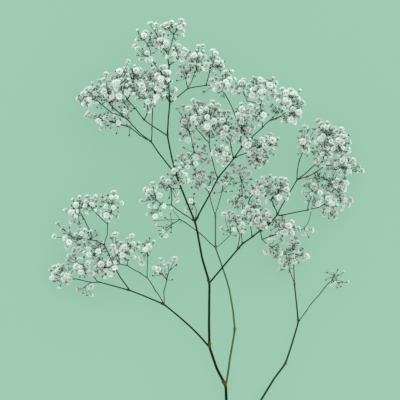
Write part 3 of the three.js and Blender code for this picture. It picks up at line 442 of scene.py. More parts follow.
Shoot = namedtuple("Shoot", "owner points loads centre")
Shoot.__doc__ = "One twig that bends at its forks and ends in a floret. Loads: florets past each point."
Fork = namedtuple("Fork", "owner point before branches")
Fork.__doc__ = "Where a twig splits, the point it came from, and the middle of what each way on carries."
Head = namedtuple("Head", "owner fork tip")
Head.__doc__ = "A young floret or a bud on a straight stalk from a fork."


class Plant:
    """Grows the whole plant: stems first, then the laid twigs, every floret, and the fine twigs."""

    def __init__(self):
        # A tube is its two ends and their radii, a floret its middle, and a head its middle and radius.
        self.tubes = Rows(8)
        self.florets = Rows(3)
        self.heads = Rows(4)
        self.shoots = []
        self.forks = []
        self.roots = {}
        self.stems = {name: self.grow_stem(name, *stem) for name, stem in STEMS.items()}
        laid = [self.lay_twigs(name, arms) for name, arms in SPRAYS.items()]
        groups = [[self.place_florets(name, twig[-1], places) for twig, places in arms]
                  for name, arms in SPRAYS.items()]
        for name, paths, centres in zip(SPRAYS, laid, groups):
            for path, group in zip(paths, centres):
                self.grow_shoot(name, path, group)
        rng = random.Random(SEED)
        self.young = self.grow_heads(rng, YOUNG_AT_FORK, YOUNG_STALK, YOUNG_RADIUS)
        self.buds = self.grow_heads(rng, BUDS_AT_FORK, BUD_STALK, BUD_RADIUS)

    def add_tube(self, owner, start, end, start_radius, end_radius):
        self.tubes.add(owner, np.concatenate((start, end, (start_radius, end_radius))))

    def tube_gaps(self, a, b):
        """The gap from the segment a-b to every tube, as if each were as thick as its thicker end."""
        table = self.tubes.values()
        return segment_distances(a, b, table[:, 0:3], table[:, 3:6]) - table[:, 6:8].max(1)

    def clearance(self, owner, a, b, radius):
        """How far a tube from a to b stays clear of every other node's tubes and florets."""
        twig_gaps = self.tube_gaps(a, b)[self.tubes.owners() != owner] - radius
        centres = self.florets.values()[self.florets.owners() != owner]
        gaps = segment_distances(a, b, centres, centres) - radius - FLORET_RADIUS
        return gaps.min(initial=twig_gaps.min(initial=math.inf))

    def feet(self, owner, point):
        """The nearest point on each other node's tubes: where, the way from it, how far, and its radius."""
        table = self.tubes.values()[self.tubes.owners() != owner]
        starts = table[:, 0:3]
        along = table[:, 3:6] - starts
        share = shares(((point - starts) * along).sum(1), (along * along).sum(1))
        feet = starts + share[:, None] * along
        away = point - feet
        bark = table[:, 6] + (table[:, 7] - table[:, 6]) * share
        return feet, away, np.sqrt((away * away).sum(1)), bark

    def end_clearance(self, owner, point, heading, radius):
        """How far a tube that starts at the point stays clear of every other node's tubes."""
        _, away, gap, bark = self.feet(owner, point)
        lean = np.where(gap > TINY, np.abs(away @ heading) / np.maximum(gap, TINY), 0)
        rim = radius * np.maximum(np.sqrt(np.maximum(0, 1 - lean * lean)), NOSE * lean)
        return (gap - rim - bark).min(initial=math.inf)

    def carrier(self, owner, point):
        """The nearest point on the axis of what carries this one, its name, and the gap to its bark."""
        feet, _, gap, bark = self.feet(owner, point)
        best = (gap - bark).argmin()
        owners = self.tubes.owners()
        return feet[best], owners[owners != owner][best], (gap - bark)[best]

    def seated_path(self, owner, path, radius):
        """The path with its start cut back until its end clears what carries it."""
        for k in range(len(path) - 1):
            heading = unit(path[k + 1] - path[k])
            run = 0.0
            while run < distance(path[k], path[k + 1]) - SHORTEST_SEGMENT:
                point = path[k] + run * heading
                if self.end_clearance(owner, point, heading, radius) >= SEAT_GAP:
                    return [point, *path[k + 1:]]
                run += SEAT_STEP
        return path

    def grow_stem(self, name, radius, path):
        """A stem's path and radii, seated on what carries it and thinner towards its end."""
        thick, thin = radius
        path = [np.array(p, float) for p in path]
        points = self.seated_path(name, path, thick)
        self.roots[name] = path[0], points[0]
        runs = np.cumsum([0] + [distance(a, b) for a, b in zip(points, points[1:])])
        radii = [thick + (thin - thick) * run / runs[-1] for run in runs]
        for segment in zip(points, points[1:], radii, radii[1:]):
            self.add_tube(name, *segment)
        return points, radii

    def lay_twigs(self, name, arms):
        """The arms' twigs. The first one is seated, and the others may start from its foot."""
        paths = []
        for twig, _ in arms:
            path = [np.array(p, float) for p in twig]
            if not paths:
                start = path[0]
                path = self.seated_path(name, path, TWIG_RADIUS)
                self.roots[name] = start, path[0]
            elif distance(path[0], start) < SEAT_STEP:
                path[0] = paths[0][0]
            for a, b in zip(path, path[1:]):
                self.add_tube(name, a, b, TWIG_RADIUS, TWIG_RADIUS)
            paths.append(path)
        return paths

    def place_florets(self, name, fork, places):
        """Heights of an arm's florets: on a dome round the fork, alternately near and far."""
        fork = np.array(fork, float)
        reaches = [math.sqrt((x - fork[0]) ** 2 + (y - fork[1]) ** 2) for x, y in places]
        dome = max(SMALLEST_HEAD, *reaches)
        centres = []
        for (x, y), reach in zip(places, reaches):
            wave = 2 * ((self.florets.count * GOLDEN_TURN) % 1) - 1
            depth = math.sqrt(max(0, dome * dome - reach * reach)) + HEAD_THICKNESS * dome
            wanted = np.array((x, y, max(LOWEST_FLORET, fork[2] + wave * HEAD_DEPTH * depth)))
            centres.append(self.first_clear(name, fork, wanted))
            self.florets.add(name, centres[-1])
        return centres

    def first_clear(self, owner, fork, wanted):
        """The height nearest to the wanted one at which a floret touches nothing."""
        first = None
        for shift in up_and_down(HEIGHT_TRIES, HEIGHT_STEP):
            centre = wanted + (0, 0, shift)
            if centre[2] >= LOWEST_FLORET and self.floret_clear(owner, centre):
                if self.clearance(owner, fork, centre, PEDICEL_RADIUS) >= SEAT_GAP:
                    return centre
                first = centre if first is None else first
        return wanted if first is None else first

    def floret_clear(self, owner, centre):
        """True if a floret there clears the others and all twigs, but for a little of its own spray's."""
        away = self.florets.values() - centre
        if math.sqrt((away * away).sum(1).min(initial=math.inf)) < FLORET_SPACING:
            return False
        margin = np.where(self.tubes.owners() != owner, TWIG_MARGIN, -OWN_TWIG_OVERLAP)
        return bool((self.tube_gaps(centre, centre) - FLORET_RADIUS - margin).min() >= 0)

    def grow_shoot(self, owner, path, group):
        """One twig out to its furthest floret, with a side shoot at each fork for the rest."""
        points = list(path)
        loads = [len(group)] * len(path)
        while len(group) > 1:
            fork = points[-1]
            parts = split(group, fork)
            self.forks.append(Fork(owner, fork, points[-2], [middle(part) for part in parts]))
            heading = unit(fork - points[-2])
            parts.sort(key=lambda part: -(unit(middle(part) - fork) @ heading))
            for part in parts[1:]:
                onward = [self.add_fork(owner, fork, part)] if len(part) > 1 else []
                self.grow_shoot(owner, [fork, *onward], part)
            group = parts[0]
            if len(group) > 1:
                points.append(self.add_fork(owner, fork, group))
                loads.append(len(group))
        centre = group[0]
        base = centre - CALYX_DEPTH * unit(centre - points[-1])
        self.add_tube(owner, points[-1], base, PEDICEL_RADIUS, PEDICEL_RADIUS)
        self.shoots.append(Shoot(owner, [*points, base], [*loads, 1], centre))

    def add_fork(self, owner, fork, group):
        following = self.next_fork(owner, fork, group)
        self.add_tube(owner, fork, following, TWIG_RADIUS, TWIG_RADIUS)
        return following

    def next_fork(self, owner, fork, group):
        """Part of the way to its florets, where its twigs clear the other sprays."""
        nearest = min(distance(floret, fork) for floret in group)
        share = min(FORK_SHARE, max(LEAST_FORK_SHARE, 1 - SHORTEST_PEDICEL / nearest))
        plain = fork + share * (middle(group) - fork)
        best, best_gap = plain, -math.inf
        for lift in up_and_down(FORK_TRIES, FORK_LIFT):
            tried = np.array((plain[0], plain[1], max(LOWEST_FORK, plain[2] + lift)))
            gap = self.clearance(owner, fork, tried, TWIG_RADIUS)
            for floret in group:
                gap = min(gap, self.clearance(owner, tried, floret, PEDICEL_RADIUS))
                gap = min(gap, distance(tried, floret) - SHORTEST_PEDICEL)
            if gap >= SEAT_GAP:
                return tried
            if gap > best_gap:
                best, best_gap = tried, gap
        return best

    def rounds(self, counts):
        """Each fork once for every head it gets, the first head of them all before any second one."""
        wanted = [(fork, at_spray(counts, fork.owner)) for fork in self.forks]
        most = max(count for _, count in wanted)
        return [fork for turn in range(most) for fork, count in wanted if count > turn]

    def grow_heads(self, rng, counts, stalk, radius):
        """Small heads on stalks at the forks, in the emptiest places that they can reach."""
        grown = []
        for fork in self.rounds(counts):
            onward = unit(middle(fork.branches) - fork.point)
            tips = []
            for _ in range(HEAD_TRIES):
                lean = np.array((rng.uniform(-1, 1), rng.uniform(-1, 1), rng.uniform(LOWEST_LEAN, 1)))
                tips.append(fork.point + rng.uniform(*stalk) * unit(onward + HEAD_SPREAD * lean))
            tips.sort(key=self.head_room, reverse=True)
            tip = next((tip for tip in tips if self.head_clear(fork.point, tip, radius)), None)
            if tip is not None:
                self.heads.add(fork.owner, (*tip, radius))
                grown.append(Head(fork.owner, fork.point, tip))
        return grown

    def head_room(self, tip):
        """The gap to the nearest head or floret as seen from above, up to what is enough."""
        taken = np.vstack((self.florets.values(), self.heads.values()[:, :3]))[:, :2]
        return min(HEAD_ROOM, np.hypot(*(taken - tip[:2]).T).min())

    def head_clear(self, fork, tip, radius):
        """True if a head there, and its stalk, have room among the florets, twigs and other heads."""
        florets, heads = self.florets.values(), self.heads.values()
        gaps = segment_distances(tip, tip, heads[:, :3], heads[:, :3]) - heads[:, 3]
        return (
            tip[2] >= radius
            and segment_distances(fork, tip, florets, florets).min() >= OPEN_RADIUS
            and segment_distances(tip, tip, florets, florets).min() >= OPEN_RADIUS + FLORET_SHARE * radius
            and self.tube_gaps(tip, tip).min() >= TWIG_SHARE * radius
            and gaps.min(initial=radius) >= radius
        )


def split(group, fork):
    """A fork carries one floret at its middle, and splits the rest at the two furthest apart."""
    if len(group) == 2:
        return [[group[0]], [group[1]]]
    axis = unit(middle(group) - fork)
    central = max(range(len(group)), key=lambda i: unit(group[i] - fork) @ axis)
    rest = [centre for i, centre in enumerate(group) if i != central]
    a, b = max(((one, other) for one in rest for other in rest), key=lambda pair: distance(*pair))
    near_a = [centre for centre in rest if distance(centre, a) <= distance(centre, b)]
    near_b = [centre for centre in rest if distance(centre, a) > distance(centre, b)]
    return [near_a, near_b, [group[central]]]


@functools.cache
def plant():
    """The grown plant, made once for all the operators."""
    return Plant()


# From the plan to meshes in the part's own frame, still in mm. Nothing lies lower than RESTING, bark is
# green where it is thinner than WOODY_RADIUS, and a heading is steep when its z passes STEEP.
RESTING = 0.05
WOODY_RADIUS = 1.5
STEEP = 0.9
STEM_SIDES = 20
TWIG_SIDES = 6

# The cut face: its rings as shares of the rim, and how far each lies from the pith to the bark.
CUT_RINGS = (0.04, 0.5, 0.86, 1)
CUT_TIPS = (0, 0.5, 0.86, 1)


def placed(points):
    """Points of the plan in the part's own frame."""
    points = np.asarray(points, float)
    return np.column_stack((points[:, 0] - PLAN_CENTRE[0], PLAN_CENTRE[1] - points[:, 1], points[:, 2]))


def unit_rows(rows):
    return rows / np.maximum(np.linalg.norm(rows, axis=1, keepdims=True), TINY)


def run_lengths(path):
    """How far along its path each point lies."""
    return np.concatenate(([0], np.cumsum(np.linalg.norm(np.diff(path, axis=0), axis=1))))


def circle(columns):
    """Points round a circle of radius 1."""
    turns = np.arange(columns) * math.tau / columns
    return np.column_stack((np.cos(turns), np.sin(turns)))


def across(heading, roll=0.0):
    """Two directions square to the heading and to each other, turned about it by roll."""
    level = np.array((0.0, 0, 1)) if abs(heading[2]) < STEEP else np.array((1.0, 0, 0))
    side = unit(np.cross(level, heading))
    top = np.cross(heading, side)
    return side * math.cos(roll) + top * math.sin(roll), top * math.cos(roll) - side * math.sin(roll)


def rolled_axes(heading, rng):
    """Three axes, the third of them the heading, turned about it at random."""
    return np.array((*across(heading, rng.uniform(0, math.tau)), heading))


def grid_quads(rows, columns, closed):
    """Faces between the rows of a grid of points. Closed rows run round into rings."""
    row, column = np.mgrid[0:rows - 1, 0:columns if closed else columns - 1]
    low = row.ravel() * columns
    here = column.ravel()
    beyond = (here + 1) % columns
    return np.column_stack((low + here, low + beyond, low + columns + beyond, low + columns + here))


def skin(rings, along, ends):
    """Points, faces, end caps where wanted, and grain of rings of points, each so far along."""
    count, columns = len(rings), len(rings[0])
    last = (count - 1) * columns
    caps = [range(columns)[::-1]] * ends[0] + [range(last, last + columns)] * ends[1]
    grain = np.column_stack((np.tile(circle(columns), (count, 1)), np.repeat(along, columns)))
    return np.concatenate(rings), grid_quads(count, columns, True), caps, grain


class Patch:
    """Points, faces and the values that materials read, gathered for one mesh."""

    def __init__(self):
        self.points = []
        self.quads = []
        self.caps = []
        self.slots = []
        self.values = {"tip": [], "node": [], "tone": [], "heart": []}
        self.grain = []
        self.count = 0

    def add(self, points, quads, caps, grain, slot=0, **values):
        """Adds points and faces. Each value is one number a point, or one for them all."""
        self.points.append(points)
        self.grain.append(grain)
        self.quads.append(quads + self.count)
        self.slots.append(np.full(len(quads), slot))
        self.caps += [(tuple(index + self.count for index in cap), slot) for cap in caps]
        for name, gathered in self.values.items():
            gathered.append(np.broadcast_to(values.get(name, 0.0), len(points)))
        self.count += len(points)

    def add_shape(self, shape, place, slot=0, tone=0.0):
        """Adds a shape at a place, which is an origin, three axes and a size."""
        origin, axes, size = place
        points = shape.points @ axes * size + origin
        values = {"tip": shape.tip, "heart": shape.heart, "tone": tone}
        self.add(points, shape.quads, shape.caps, shape.grain, slot, **values)

    def tube(self, centres, radii, sides, ends=(True, True), **values):
        """A round tube through the centres, with its grain running along it."""
        steps = unit_rows(np.diff(centres, axis=0))
        along = unit_rows(np.vstack((steps[:1], steps[1:] + steps[:-1], steps[-1:])))
        side = across(along[0])[0]
        ring = circle(sides)
        rings = []
        for centre, heading, radius in zip(centres, along, radii):
            side = unit(side - (side @ heading) * heading)
            rings.append(centre + radius * ring @ np.array((side, np.cross(heading, side))))
        values = {name: np.repeat(v, sides) if np.ndim(v) else v for name, v in values.items()}
        self.add(*skin(rings, run_lengths(centres), ends), **values)

    def stem(self, centres, radii, nodes, slant):
        """A stem's bark. Where it is slanted at its foot, it ends in a cut face."""
        fresh = np.clip(1 - radii / WOODY_RADIUS, 0, 1)
        self.tube(centres, radii, STEM_SIDES, ends=(not slant, True), node=nodes, tip=fresh)
        if slant:
            rim = self.points[-1][:STEM_SIDES]
            along = unit(centres[1] - centres[0])
            rim += slant * radii[0] * (1 + circle(STEM_SIDES)[:, :1]) * along
            pith = rim.mean(0)
            rings = [pith + (rim - pith) * share for share in CUT_RINGS]
            self.add(*skin(rings, CUT_TIPS, (True, False)), 1, tip=np.repeat(CUT_TIPS, STEM_SIDES))

    def piece(self, name, finish_names, slot, node=None):
        """Makes one piece, which rides on the plant and may stand for a packed node."""
        mesh = bpy.data.meshes.new(name)
        points = np.concatenate(self.points) * MM
        points[:, 2] = np.maximum(points[:, 2], RESTING * MM)
        faces = np.concatenate(self.quads).tolist() + [cap for cap, _ in self.caps]
        mesh.from_pydata(points.tolist(), [], faces)
        slots = np.concatenate((*self.slots, [slot for _, slot in self.caps])).astype(np.int32)
        mesh.polygons.foreach_set("material_index", slots)
        for value, gathered in self.values.items():
            layer = mesh.attributes.new(value, "FLOAT", "POINT")
            layer.data.foreach_set("value", np.concatenate(gathered).astype(np.float32))
        layer = mesh.attributes.new("grain", "FLOAT_VECTOR", "POINT")
        layer.data.foreach_set("vector", np.concatenate(self.grain).astype(np.float32).ravel())
        for finish in finish_names:
            mesh.materials.append(finishes()[finish])
        mesh.shade_smooth()
        mesh.update()
        made = bpy.data.objects.new(name, mesh)
        bpy.context.collection.objects.link(made)
        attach(made, BODY)
        if node:
            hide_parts(node)


Shape = namedtuple("Shape", "points quads caps grain tip heart", defaults=(0.0,))


def turned_shape(profile, columns, tooth=None):
    """A shape turned about z from rows of height and radius. A tooth lifts every second column's end."""
    heights, radii = (np.repeat([column], columns, 0).T for column in zip(*profile))
    if tooth:
        heights[-1, ::2] += tooth[0]
        radii[-1, ::2] += tooth[1]
    rings = [np.column_stack((circle(columns) * wide[:, None], high)) for high, wide in zip(heights, radii)]
    share = np.linspace(0, 1, len(profile))
    return Shape(*skin(rings, share, (False, not tooth)), np.repeat(share, columns))


# A double floret's whorls, from its rim to its middle: how many petals, their length in mm, and their
# rise and curl in degrees.
WHORLS = (
    (9, 3.0, -12, -26), (9, 3.3, 8, -18), (8, 3.4, 28, -30),
    (8, 3.3, 48, -40), (7, 3.1, 64, -30), (6, 2.9, 80, 46),
)

# A petal, three points wide: its rows as shares of its length, with their half widths in mm, then where
# it leaves the calyx, in mm and degrees, and how it is notched, cupped, ruffled and twisted.
HANDS = (-1, 0, 1)
PETAL_ROWS = np.array((0, 0.42, 0.78, 1))
PETAL_HALF_WIDTHS = np.array((0.14, 0.56, 0.9, 0.5))
PETAL_STEPS = 12
PETAL_FOOT = 0.3
PETAL_MOUTH = -0.75
PETAL_LIFT = 44
PETAL_NOTCH = 0.2
PETAL_CUP = 0.3
PETAL_RUFFLE = 0.16
PETAL_TWIST = 0.35

# How petals of a whorl differ: in length and width, in place as a share of their spacing, in tilt in
# degrees, and in where their veins lie.
PETAL_LENGTHS = (0.82, 1.1)
PETAL_WIDTHS = (0.88, 1.12)
PETAL_SHIFT = 0.22
PETAL_TILT = 7
VEIN_SHIFT = 7

# How wide the floret so described is, in mm, and how large and how open the drawn ones are against it.
PATTERN_WIDTH = 6.6
FLORET_SIZES = {"right_side_spray": (0.44, 0.66), "middle_low_spray": (0.6, 0.82), "other": (0.84, 1.14)}
YOUNG_SIZES = (0.74, 1.0)
OPENNESS = (1, 0.97, 0.93, 0.88, 0.82, 0.74)
YOUNG_OPENNESS = (0.85, 0.7, 0.55, 0.42)
BARELY_OPEN = ("right_side_spray", "middle_low_spray")

# Calyxes and buds, in rows of height and radius in mm.
CALYX_PROFILE = ((-2.5, 0.2), (-2.25, 0.46), (-1.75, 0.72), (-1.1, 0.82), (-0.7, 0.9))
CALYX_TOOTH = (0.5, 0.22)
CALYX_COLUMNS = 10
BUD_PROFILE = ((-1.05, 0.2), (-0.8, 0.54), (-0.3, 0.8), (0.25, 0.76), (0.8, 0.4))
BUD_TIP_PROFILE = ((0.5, 0.5), (1.0, 0.42), (1.36, 0.14))
BUD_COLUMNS = 8
BUD_SIZES = (0.75, 1.15)
BUD_TONES = (0.3, 1)

# How dull a floret may look at random, and how much painted shade further dulls the florets of the sprays
# whose names begin so.
TONE_RANGE = 0.35
SPRAY_SHADE_TONE = 0.22
SHADED_SPRAYS = (
    "centre", "far", "lower", "right", "second", "middle_high", "middle_low", "middle_near", "middle_right",
)


def petal(rng, length, rise, curl, turn):
    """One petal from its claw to its notched tip, three points to a row."""
    share = np.linspace(0, 1, PETAL_STEPS + 1)
    lift = PETAL_LIFT * (1 - rise / 90)
    slope = np.radians(rise + lift * (1 - share) ** 2 + curl * share ** 2)
    step = length / PETAL_STEPS
    reach = PETAL_FOOT + np.concatenate(([0], np.cumsum(np.cos(slope[1:]) * step)))
    height = PETAL_MOUTH + np.concatenate(([0], np.cumsum(np.sin(slope[1:]) * step)))
    twist = rng.uniform(-PETAL_TWIST, PETAL_TWIST)
    half_widths = PETAL_HALF_WIDTHS * rng.uniform(*PETAL_WIDTHS)
    points = []
    for place, half in zip(PETAL_ROWS, half_widths):
        angle = np.interp(place, share, slope)
        up = np.array((-math.sin(angle), 0, math.cos(angle)))
        edge = np.array((0, math.cos(twist * place), 0)) + math.sin(twist * place) * up
        notch = PETAL_NOTCH if place == PETAL_ROWS[-1] else 0
        for hand in HANDS:
            back = place if hand else place - notch / length
            centre = np.array((np.interp(back, share, reach), 0, np.interp(back, share, height)))
            ruffle = rng.uniform(-PETAL_RUFFLE, PETAL_RUFFLE) * place if hand else 0
            points.append(centre + hand * half * edge + (PETAL_CUP * half * abs(hand) + ruffle) * up)
    c, s = math.cos(turn), math.sin(turn)
    return np.array(points) @ np.array(((c, s, 0), (-s, c, 0), (0, 0, 1)))


def pompon(openness):
    """A double floret's petals about z, with its middle at the origin. A young one has fewer."""
    rng = random.Random(round(1000 * openness))
    whorls = WHORLS if openness in OPENNESS else WHORLS[1::2]
    rows = len(PETAL_ROWS)
    wide = len(HANDS)
    points, quads, grain, tips, hearts = [], [], [], [], []
    for whorl, (count, length, rise, curl) in enumerate(whorls):
        phase = rng.uniform(0, math.tau)
        for k in range(count):
            turn = phase + (k + rng.uniform(-PETAL_SHIFT, PETAL_SHIFT)) * math.tau / count
            tilt = rise + (90 - rise) * (1 - openness) + rng.uniform(-PETAL_TILT, PETAL_TILT)
            quads.append(grid_quads(rows, wide, False) + wide * rows * len(points))
            points.append(petal(rng, length * rng.uniform(*PETAL_LENGTHS), tilt, curl, turn))
            grain.append([(hand, row, whorl + VEIN_SHIFT * k) for row in PETAL_ROWS for hand in HANDS])
            tips.append(np.repeat(PETAL_ROWS, wide))
            hearts.append(np.full(wide * rows, whorl / (len(whorls) - 1)))
    points, quads, grain, tips, hearts = map(np.concatenate, (points, quads, grain, tips, hearts))
    return Shape(points, quads, (), grain, tips, hearts)


# Shader maths written as Python expressions. A Mix node has its colours at these sockets.
MIX_A, MIX_B, MIX_RESULT = 6, 7, 2


class Shade:
    """A shader socket that takes part in arithmetic."""

    def __init__(self, finish, socket):
        self.finish = finish
        self.socket = socket

    def __add__(self, other):
        return self.finish.math("ADD", self, other)

    def __mul__(self, other):
        return self.finish.math("MULTIPLY", self, other)

    __radd__ = __add__
    __rmul__ = __mul__


class Finish:
    """A material in the making, with one method that adds any kind of node."""

    def __init__(self, name):
        self.material = bpy.data.materials.new(name)
        self.material.use_nodes = True
        self.tree = self.material.node_tree
        self.surface = self.tree.nodes["Principled BSDF"]

    def node(self, kind, settings=None, sockets=None, output=0):
        made = self.tree.nodes.new(kind)
        for name, value in (settings or {}).items():
            setattr(made, name, value)
        for name, value in (sockets or {}).items():
            self.feed(made.inputs[name], value)
        return Shade(self, made.outputs[output])

    def feed(self, socket, value):
        if isinstance(value, Shade):
            self.tree.links.new(value.socket, socket)
        else:
            socket.default_value = value

    def surfaced(self, **sockets):
        """The material, with these values and links on its surface."""
        for name, value in sockets.items():
            self.feed(self.surface.inputs[name.replace("_", " ")], value)
        return self.material

    def math(self, operation, a, b):
        return self.node("ShaderNodeMath", {"operation": operation}, {0: a, 1: b})

    def value(self, name):
        return self.node("ShaderNodeAttribute", {"attribute_name": name}, output="Fac")

    def grain(self, scale):
        """The direction in which a piece grew, stretched by the scale."""
        along = self.node("ShaderNodeAttribute", {"attribute_name": "grain"}, output="Vector")
        return self.node("ShaderNodeVectorMath", {"operation": "MULTIPLY"}, {0: along, 1: scale})

    def place(self):
        return self.node("ShaderNodeTexCoord", output="Object")

    def noise(self, vector, scale, detail=3.0):
        sockets = {"Vector": vector, "Scale": scale, "Detail": detail, "Roughness": 0.55}
        return self.node("ShaderNodeTexNoise", None, sockets, "Fac")

    def band(self, value, low, high):
        """0 below low and 1 above high, with a smooth step between."""
        settings = {"interpolation_type": "SMOOTHSTEP"}
        sockets = {"Value": value, "From Min": low, "From Max": high}
        return self.node("ShaderNodeMapRange", settings, sockets)

    def mixed(self, share, a, b):
        """Colour a where the share is 0, and b where it is 1."""
        first, second = (colour if isinstance(colour, Shade) else (*colour, 1) for colour in (a, b))
        settings = {"data_type": "RGBA", "clamp_factor": True}
        return self.node("ShaderNodeMix", settings, {0: share, MIX_A: first, MIX_B: second}, MIX_RESULT)

    def bump(self, height, depth):
        return self.node("ShaderNodeBump", None, {"Strength": 1.0, "Distance": depth, "Height": height})


def petal_finish(colours):
    """White with a greyer rim, a cream-green foot and fine lengthwise veins. Aged florets are dull."""
    finish = Finish("petal")
    veins = finish.noise(finish.grain((9, 1.6, 3)), 1.0, 2.0)
    # Painted shade: the outer whorls are greyer than the middle ones, by how near each lies to the floret's
    # heart.
    white = finish.mixed(finish.band(finish.value("heart"), 0.0, 0.75), colours.petal_rim_painted_shade, colours.petal)
    body = finish.mixed(finish.band(finish.value("tip"), 0.02, 0.5), colours.foot, white)
    return finish.surfaced(
        # The tone mixes in the dull colour: at random for every floret, and as painted shade for the shaded
        # sprays.
        Base_Color=finish.mixed(finish.value("tone") * (0.55 + 0.45 * veins), body, colours.dull_and_shaded),
        Roughness=0.5 + 0.2 * veins,
        Normal=finish.bump(veins, 0.00012),
        Specular_IOR_Level=0.15,
    )


def calyx_finish(colours):
    """Green bell, darker along its veins, with thin pale rims to its teeth."""
    finish = Finish("calyx")
    ribs = finish.noise(finish.grain((2.6, 2.6, 0.5)), 1.4, 2.0)
    mottle = finish.noise(finish.place(), 1600.0)
    bell = finish.mixed(finish.band(ribs, 0.35, 0.65), colours.calyx_vein, colours.calyx)
    green = finish.mixed(finish.value("tone"), bell, colours.bud)
    rim = finish.band(finish.value("tip"), 0.86, 1.08) * 0.7 + 0.15 * mottle
    return finish.surfaced(
        Base_Color=finish.mixed(rim, green, colours.calyx_rim),
        Roughness=0.5 + 0.2 * mottle,
        Normal=finish.bump(ribs + 0.3 * mottle, 0.00012),
        Specular_IOR_Level=0.25,
    )


def twig_finish(colours):
    """Dark green, streaked along the twig, with brown nodes."""
    finish = Finish("twig")
    streaks = finish.noise(finish.grain((2.5, 2.5, 0.22)), 1.2)
    mottle = finish.noise(finish.place(), 420.0, 2.0)
    green = finish.mixed(finish.band(streaks + 0.4 * mottle, 0.45, 0.95), colours.twig_dark, colours.twig)
    brown = finish.value("node") * (0.35 + 0.75 * mottle)
    return finish.surfaced(
        Base_Color=finish.mixed(brown, green, colours.node),
        Roughness=0.5 + 0.25 * streaks,
        Normal=finish.bump(streaks, 0.0001),
        Specular_IOR_Level=0.04,
    )


def bark_finish(colours, name, fresh):
    """Smooth bark that greens where it thins, with lengthwise ridges, pale flecks and tan nodes."""
    finish = Finish(f"{name}_bark")
    ridges = finish.noise(finish.grain((3.2, 3.2, 0.05)), 1.6, 4.0)
    flecks = finish.noise(finish.grain((4.5, 4.5, 1.1)), 2.2, 2.0)
    patches = finish.noise(finish.place(), 90.0)
    raised = finish.band(ridges + 0.5 * patches, 0.5, 1.0)
    old = finish.mixed(raised, getattr(colours, f"{name}_dark"), getattr(colours, name))
    bark = finish.mixed(finish.value("tip") * (0.7 + 0.9 * ridges), old, fresh)
    tan = finish.value("node") * (0.5 + 0.8 * patches) + finish.band(flecks, 0.68, 0.8) * 0.2
    return finish.surfaced(
        Base_Color=finish.mixed(tan, bark, colours.woody_node),
        Roughness=0.45 + 0.3 * ridges,
        Normal=finish.bump(ridges + 0.35 * flecks, 0.00028),
        Specular_IOR_Level=0.04,
    )


def pith_finish(colours):
    """Cut end: pale pith inside a green and woody ring."""
    finish = Finish("cut_end")
    rays = finish.noise(finish.place(), 2600.0, 4.0)
    wood = finish.mixed(finish.band(finish.value("tip"), 0.35, 0.9), colours.pith, colours.woody)
    return finish.surfaced(
        Base_Color=finish.mixed(finish.band(rays, 0.5, 0.75) * 0.6, wood, colours.node),
        Roughness=0.6 + 0.3 * rays,
        Normal=finish.bump(rays, 0.0002),
    )


def bract_finish(colours):
    """Dry brown scale with a paler papery edge and dark veins."""
    finish = Finish("bract")
    veins = finish.noise(finish.grain((6, 1.2, 1)), 1.0, 2.0)
    paper = finish.mixed(finish.band(veins, 0.35, 0.7), colours.bract, colours.bract_edge)
    return finish.surfaced(
        Base_Color=finish.mixed(finish.band(finish.value("tip"), 0.5, 1.1), paper, colours.bract_edge),
        Roughness=0.6 + 0.3 * veins,
        Normal=finish.bump(veins, 0.00015),
    )


@functools.cache
def finishes():
    """Every finish of the plant, made once."""
    colours = bpy.context.scene.gypsophila_colours
    return {
        "petal": petal_finish(colours),
        "calyx": calyx_finish(colours),
        "twig": twig_finish(colours),
        "woody": bark_finish(colours, "woody", colours.fresh),
        "olive": bark_finish(colours, "olive", colours.fresh),
        "green": bark_finish(colours, "green", colours.green_fresh),
        "pith": pith_finish(colours),
        "bract": bract_finish(colours),
    }


# Stems, in mm: the steps they are drawn in, how their bends are rounded, which bends are nodes, and the
# bark of those that aren't olive.
STEM_STEP = 1.5
STEM_ROUNDING = 4.0
ROUNDING_SHARE = 0.4
ROUNDING_POINTS = 6
SHARPEST = 0.05
NODE_TURN = 0.2
NODES_APART = 6.0
STEM_NODE_REACH = 2.0
SCALE_SWELL = 0.8
FOOT_TAPER = 0.7
CUT_SLANT = 0.4
BARKS = {
    "main_stem": "woody", "left_branch": "woody", "right_diagonal": "woody", "right_branch": "woody",
    "second_stem": "green",
}

# Twigs, in mm: how thick they are by the florets they carry, where their points lie between two nodes,
# how much more or less than the chosen bow they bend, and the cup in which they end.
FINEST_RADIUS = 0.2
TWIG_LOAD_POWER = 0.33
HEAD_LOAD = 0.5
BRACT_LOAD = 2
HEAD_BOW = 2
NODE_REACH = 0.5
NODE_STEPS = (0, 0.6)
NODE_STEPS_SHARE = 2.5
SHORT_TWIG = 3
TWIG_POINTS = 5
BOW_RANGE = (0.6, 1.5)
CUP = 0.35

# A dry scale: its rows as shares of its length, with their half widths, and how it clasps its node,
# leans away from it and starts below it. It is at most so many radii of its twig wide.
BRACT_ROWS = ((0, 0.42), (0.35, 0.5), (0.7, 0.28), (1, 0.04))
BRACT_CLASP = 1.15
BRACT_SINK = 0.55
BRACT_LEAN = 0.4
BRACT_CURVE = 1.5
BRACT_FOOT = 0.15
BRACT_WIDEST = 2.2
LEAST_SIDE = 0.05

# How the florets turn to the light: where it comes from, at most how far, and what share of the way.
LIGHT = np.array((0.0, 0.5, 0.866))
LARGEST_TURN = math.radians(45)
TURN_SHARE = 0.6
STRAIGHT = 0.05


def swelling(gap, reach):
    """1 at a node and 0 away from it."""
    return np.exp(-((gap / reach) ** 2))


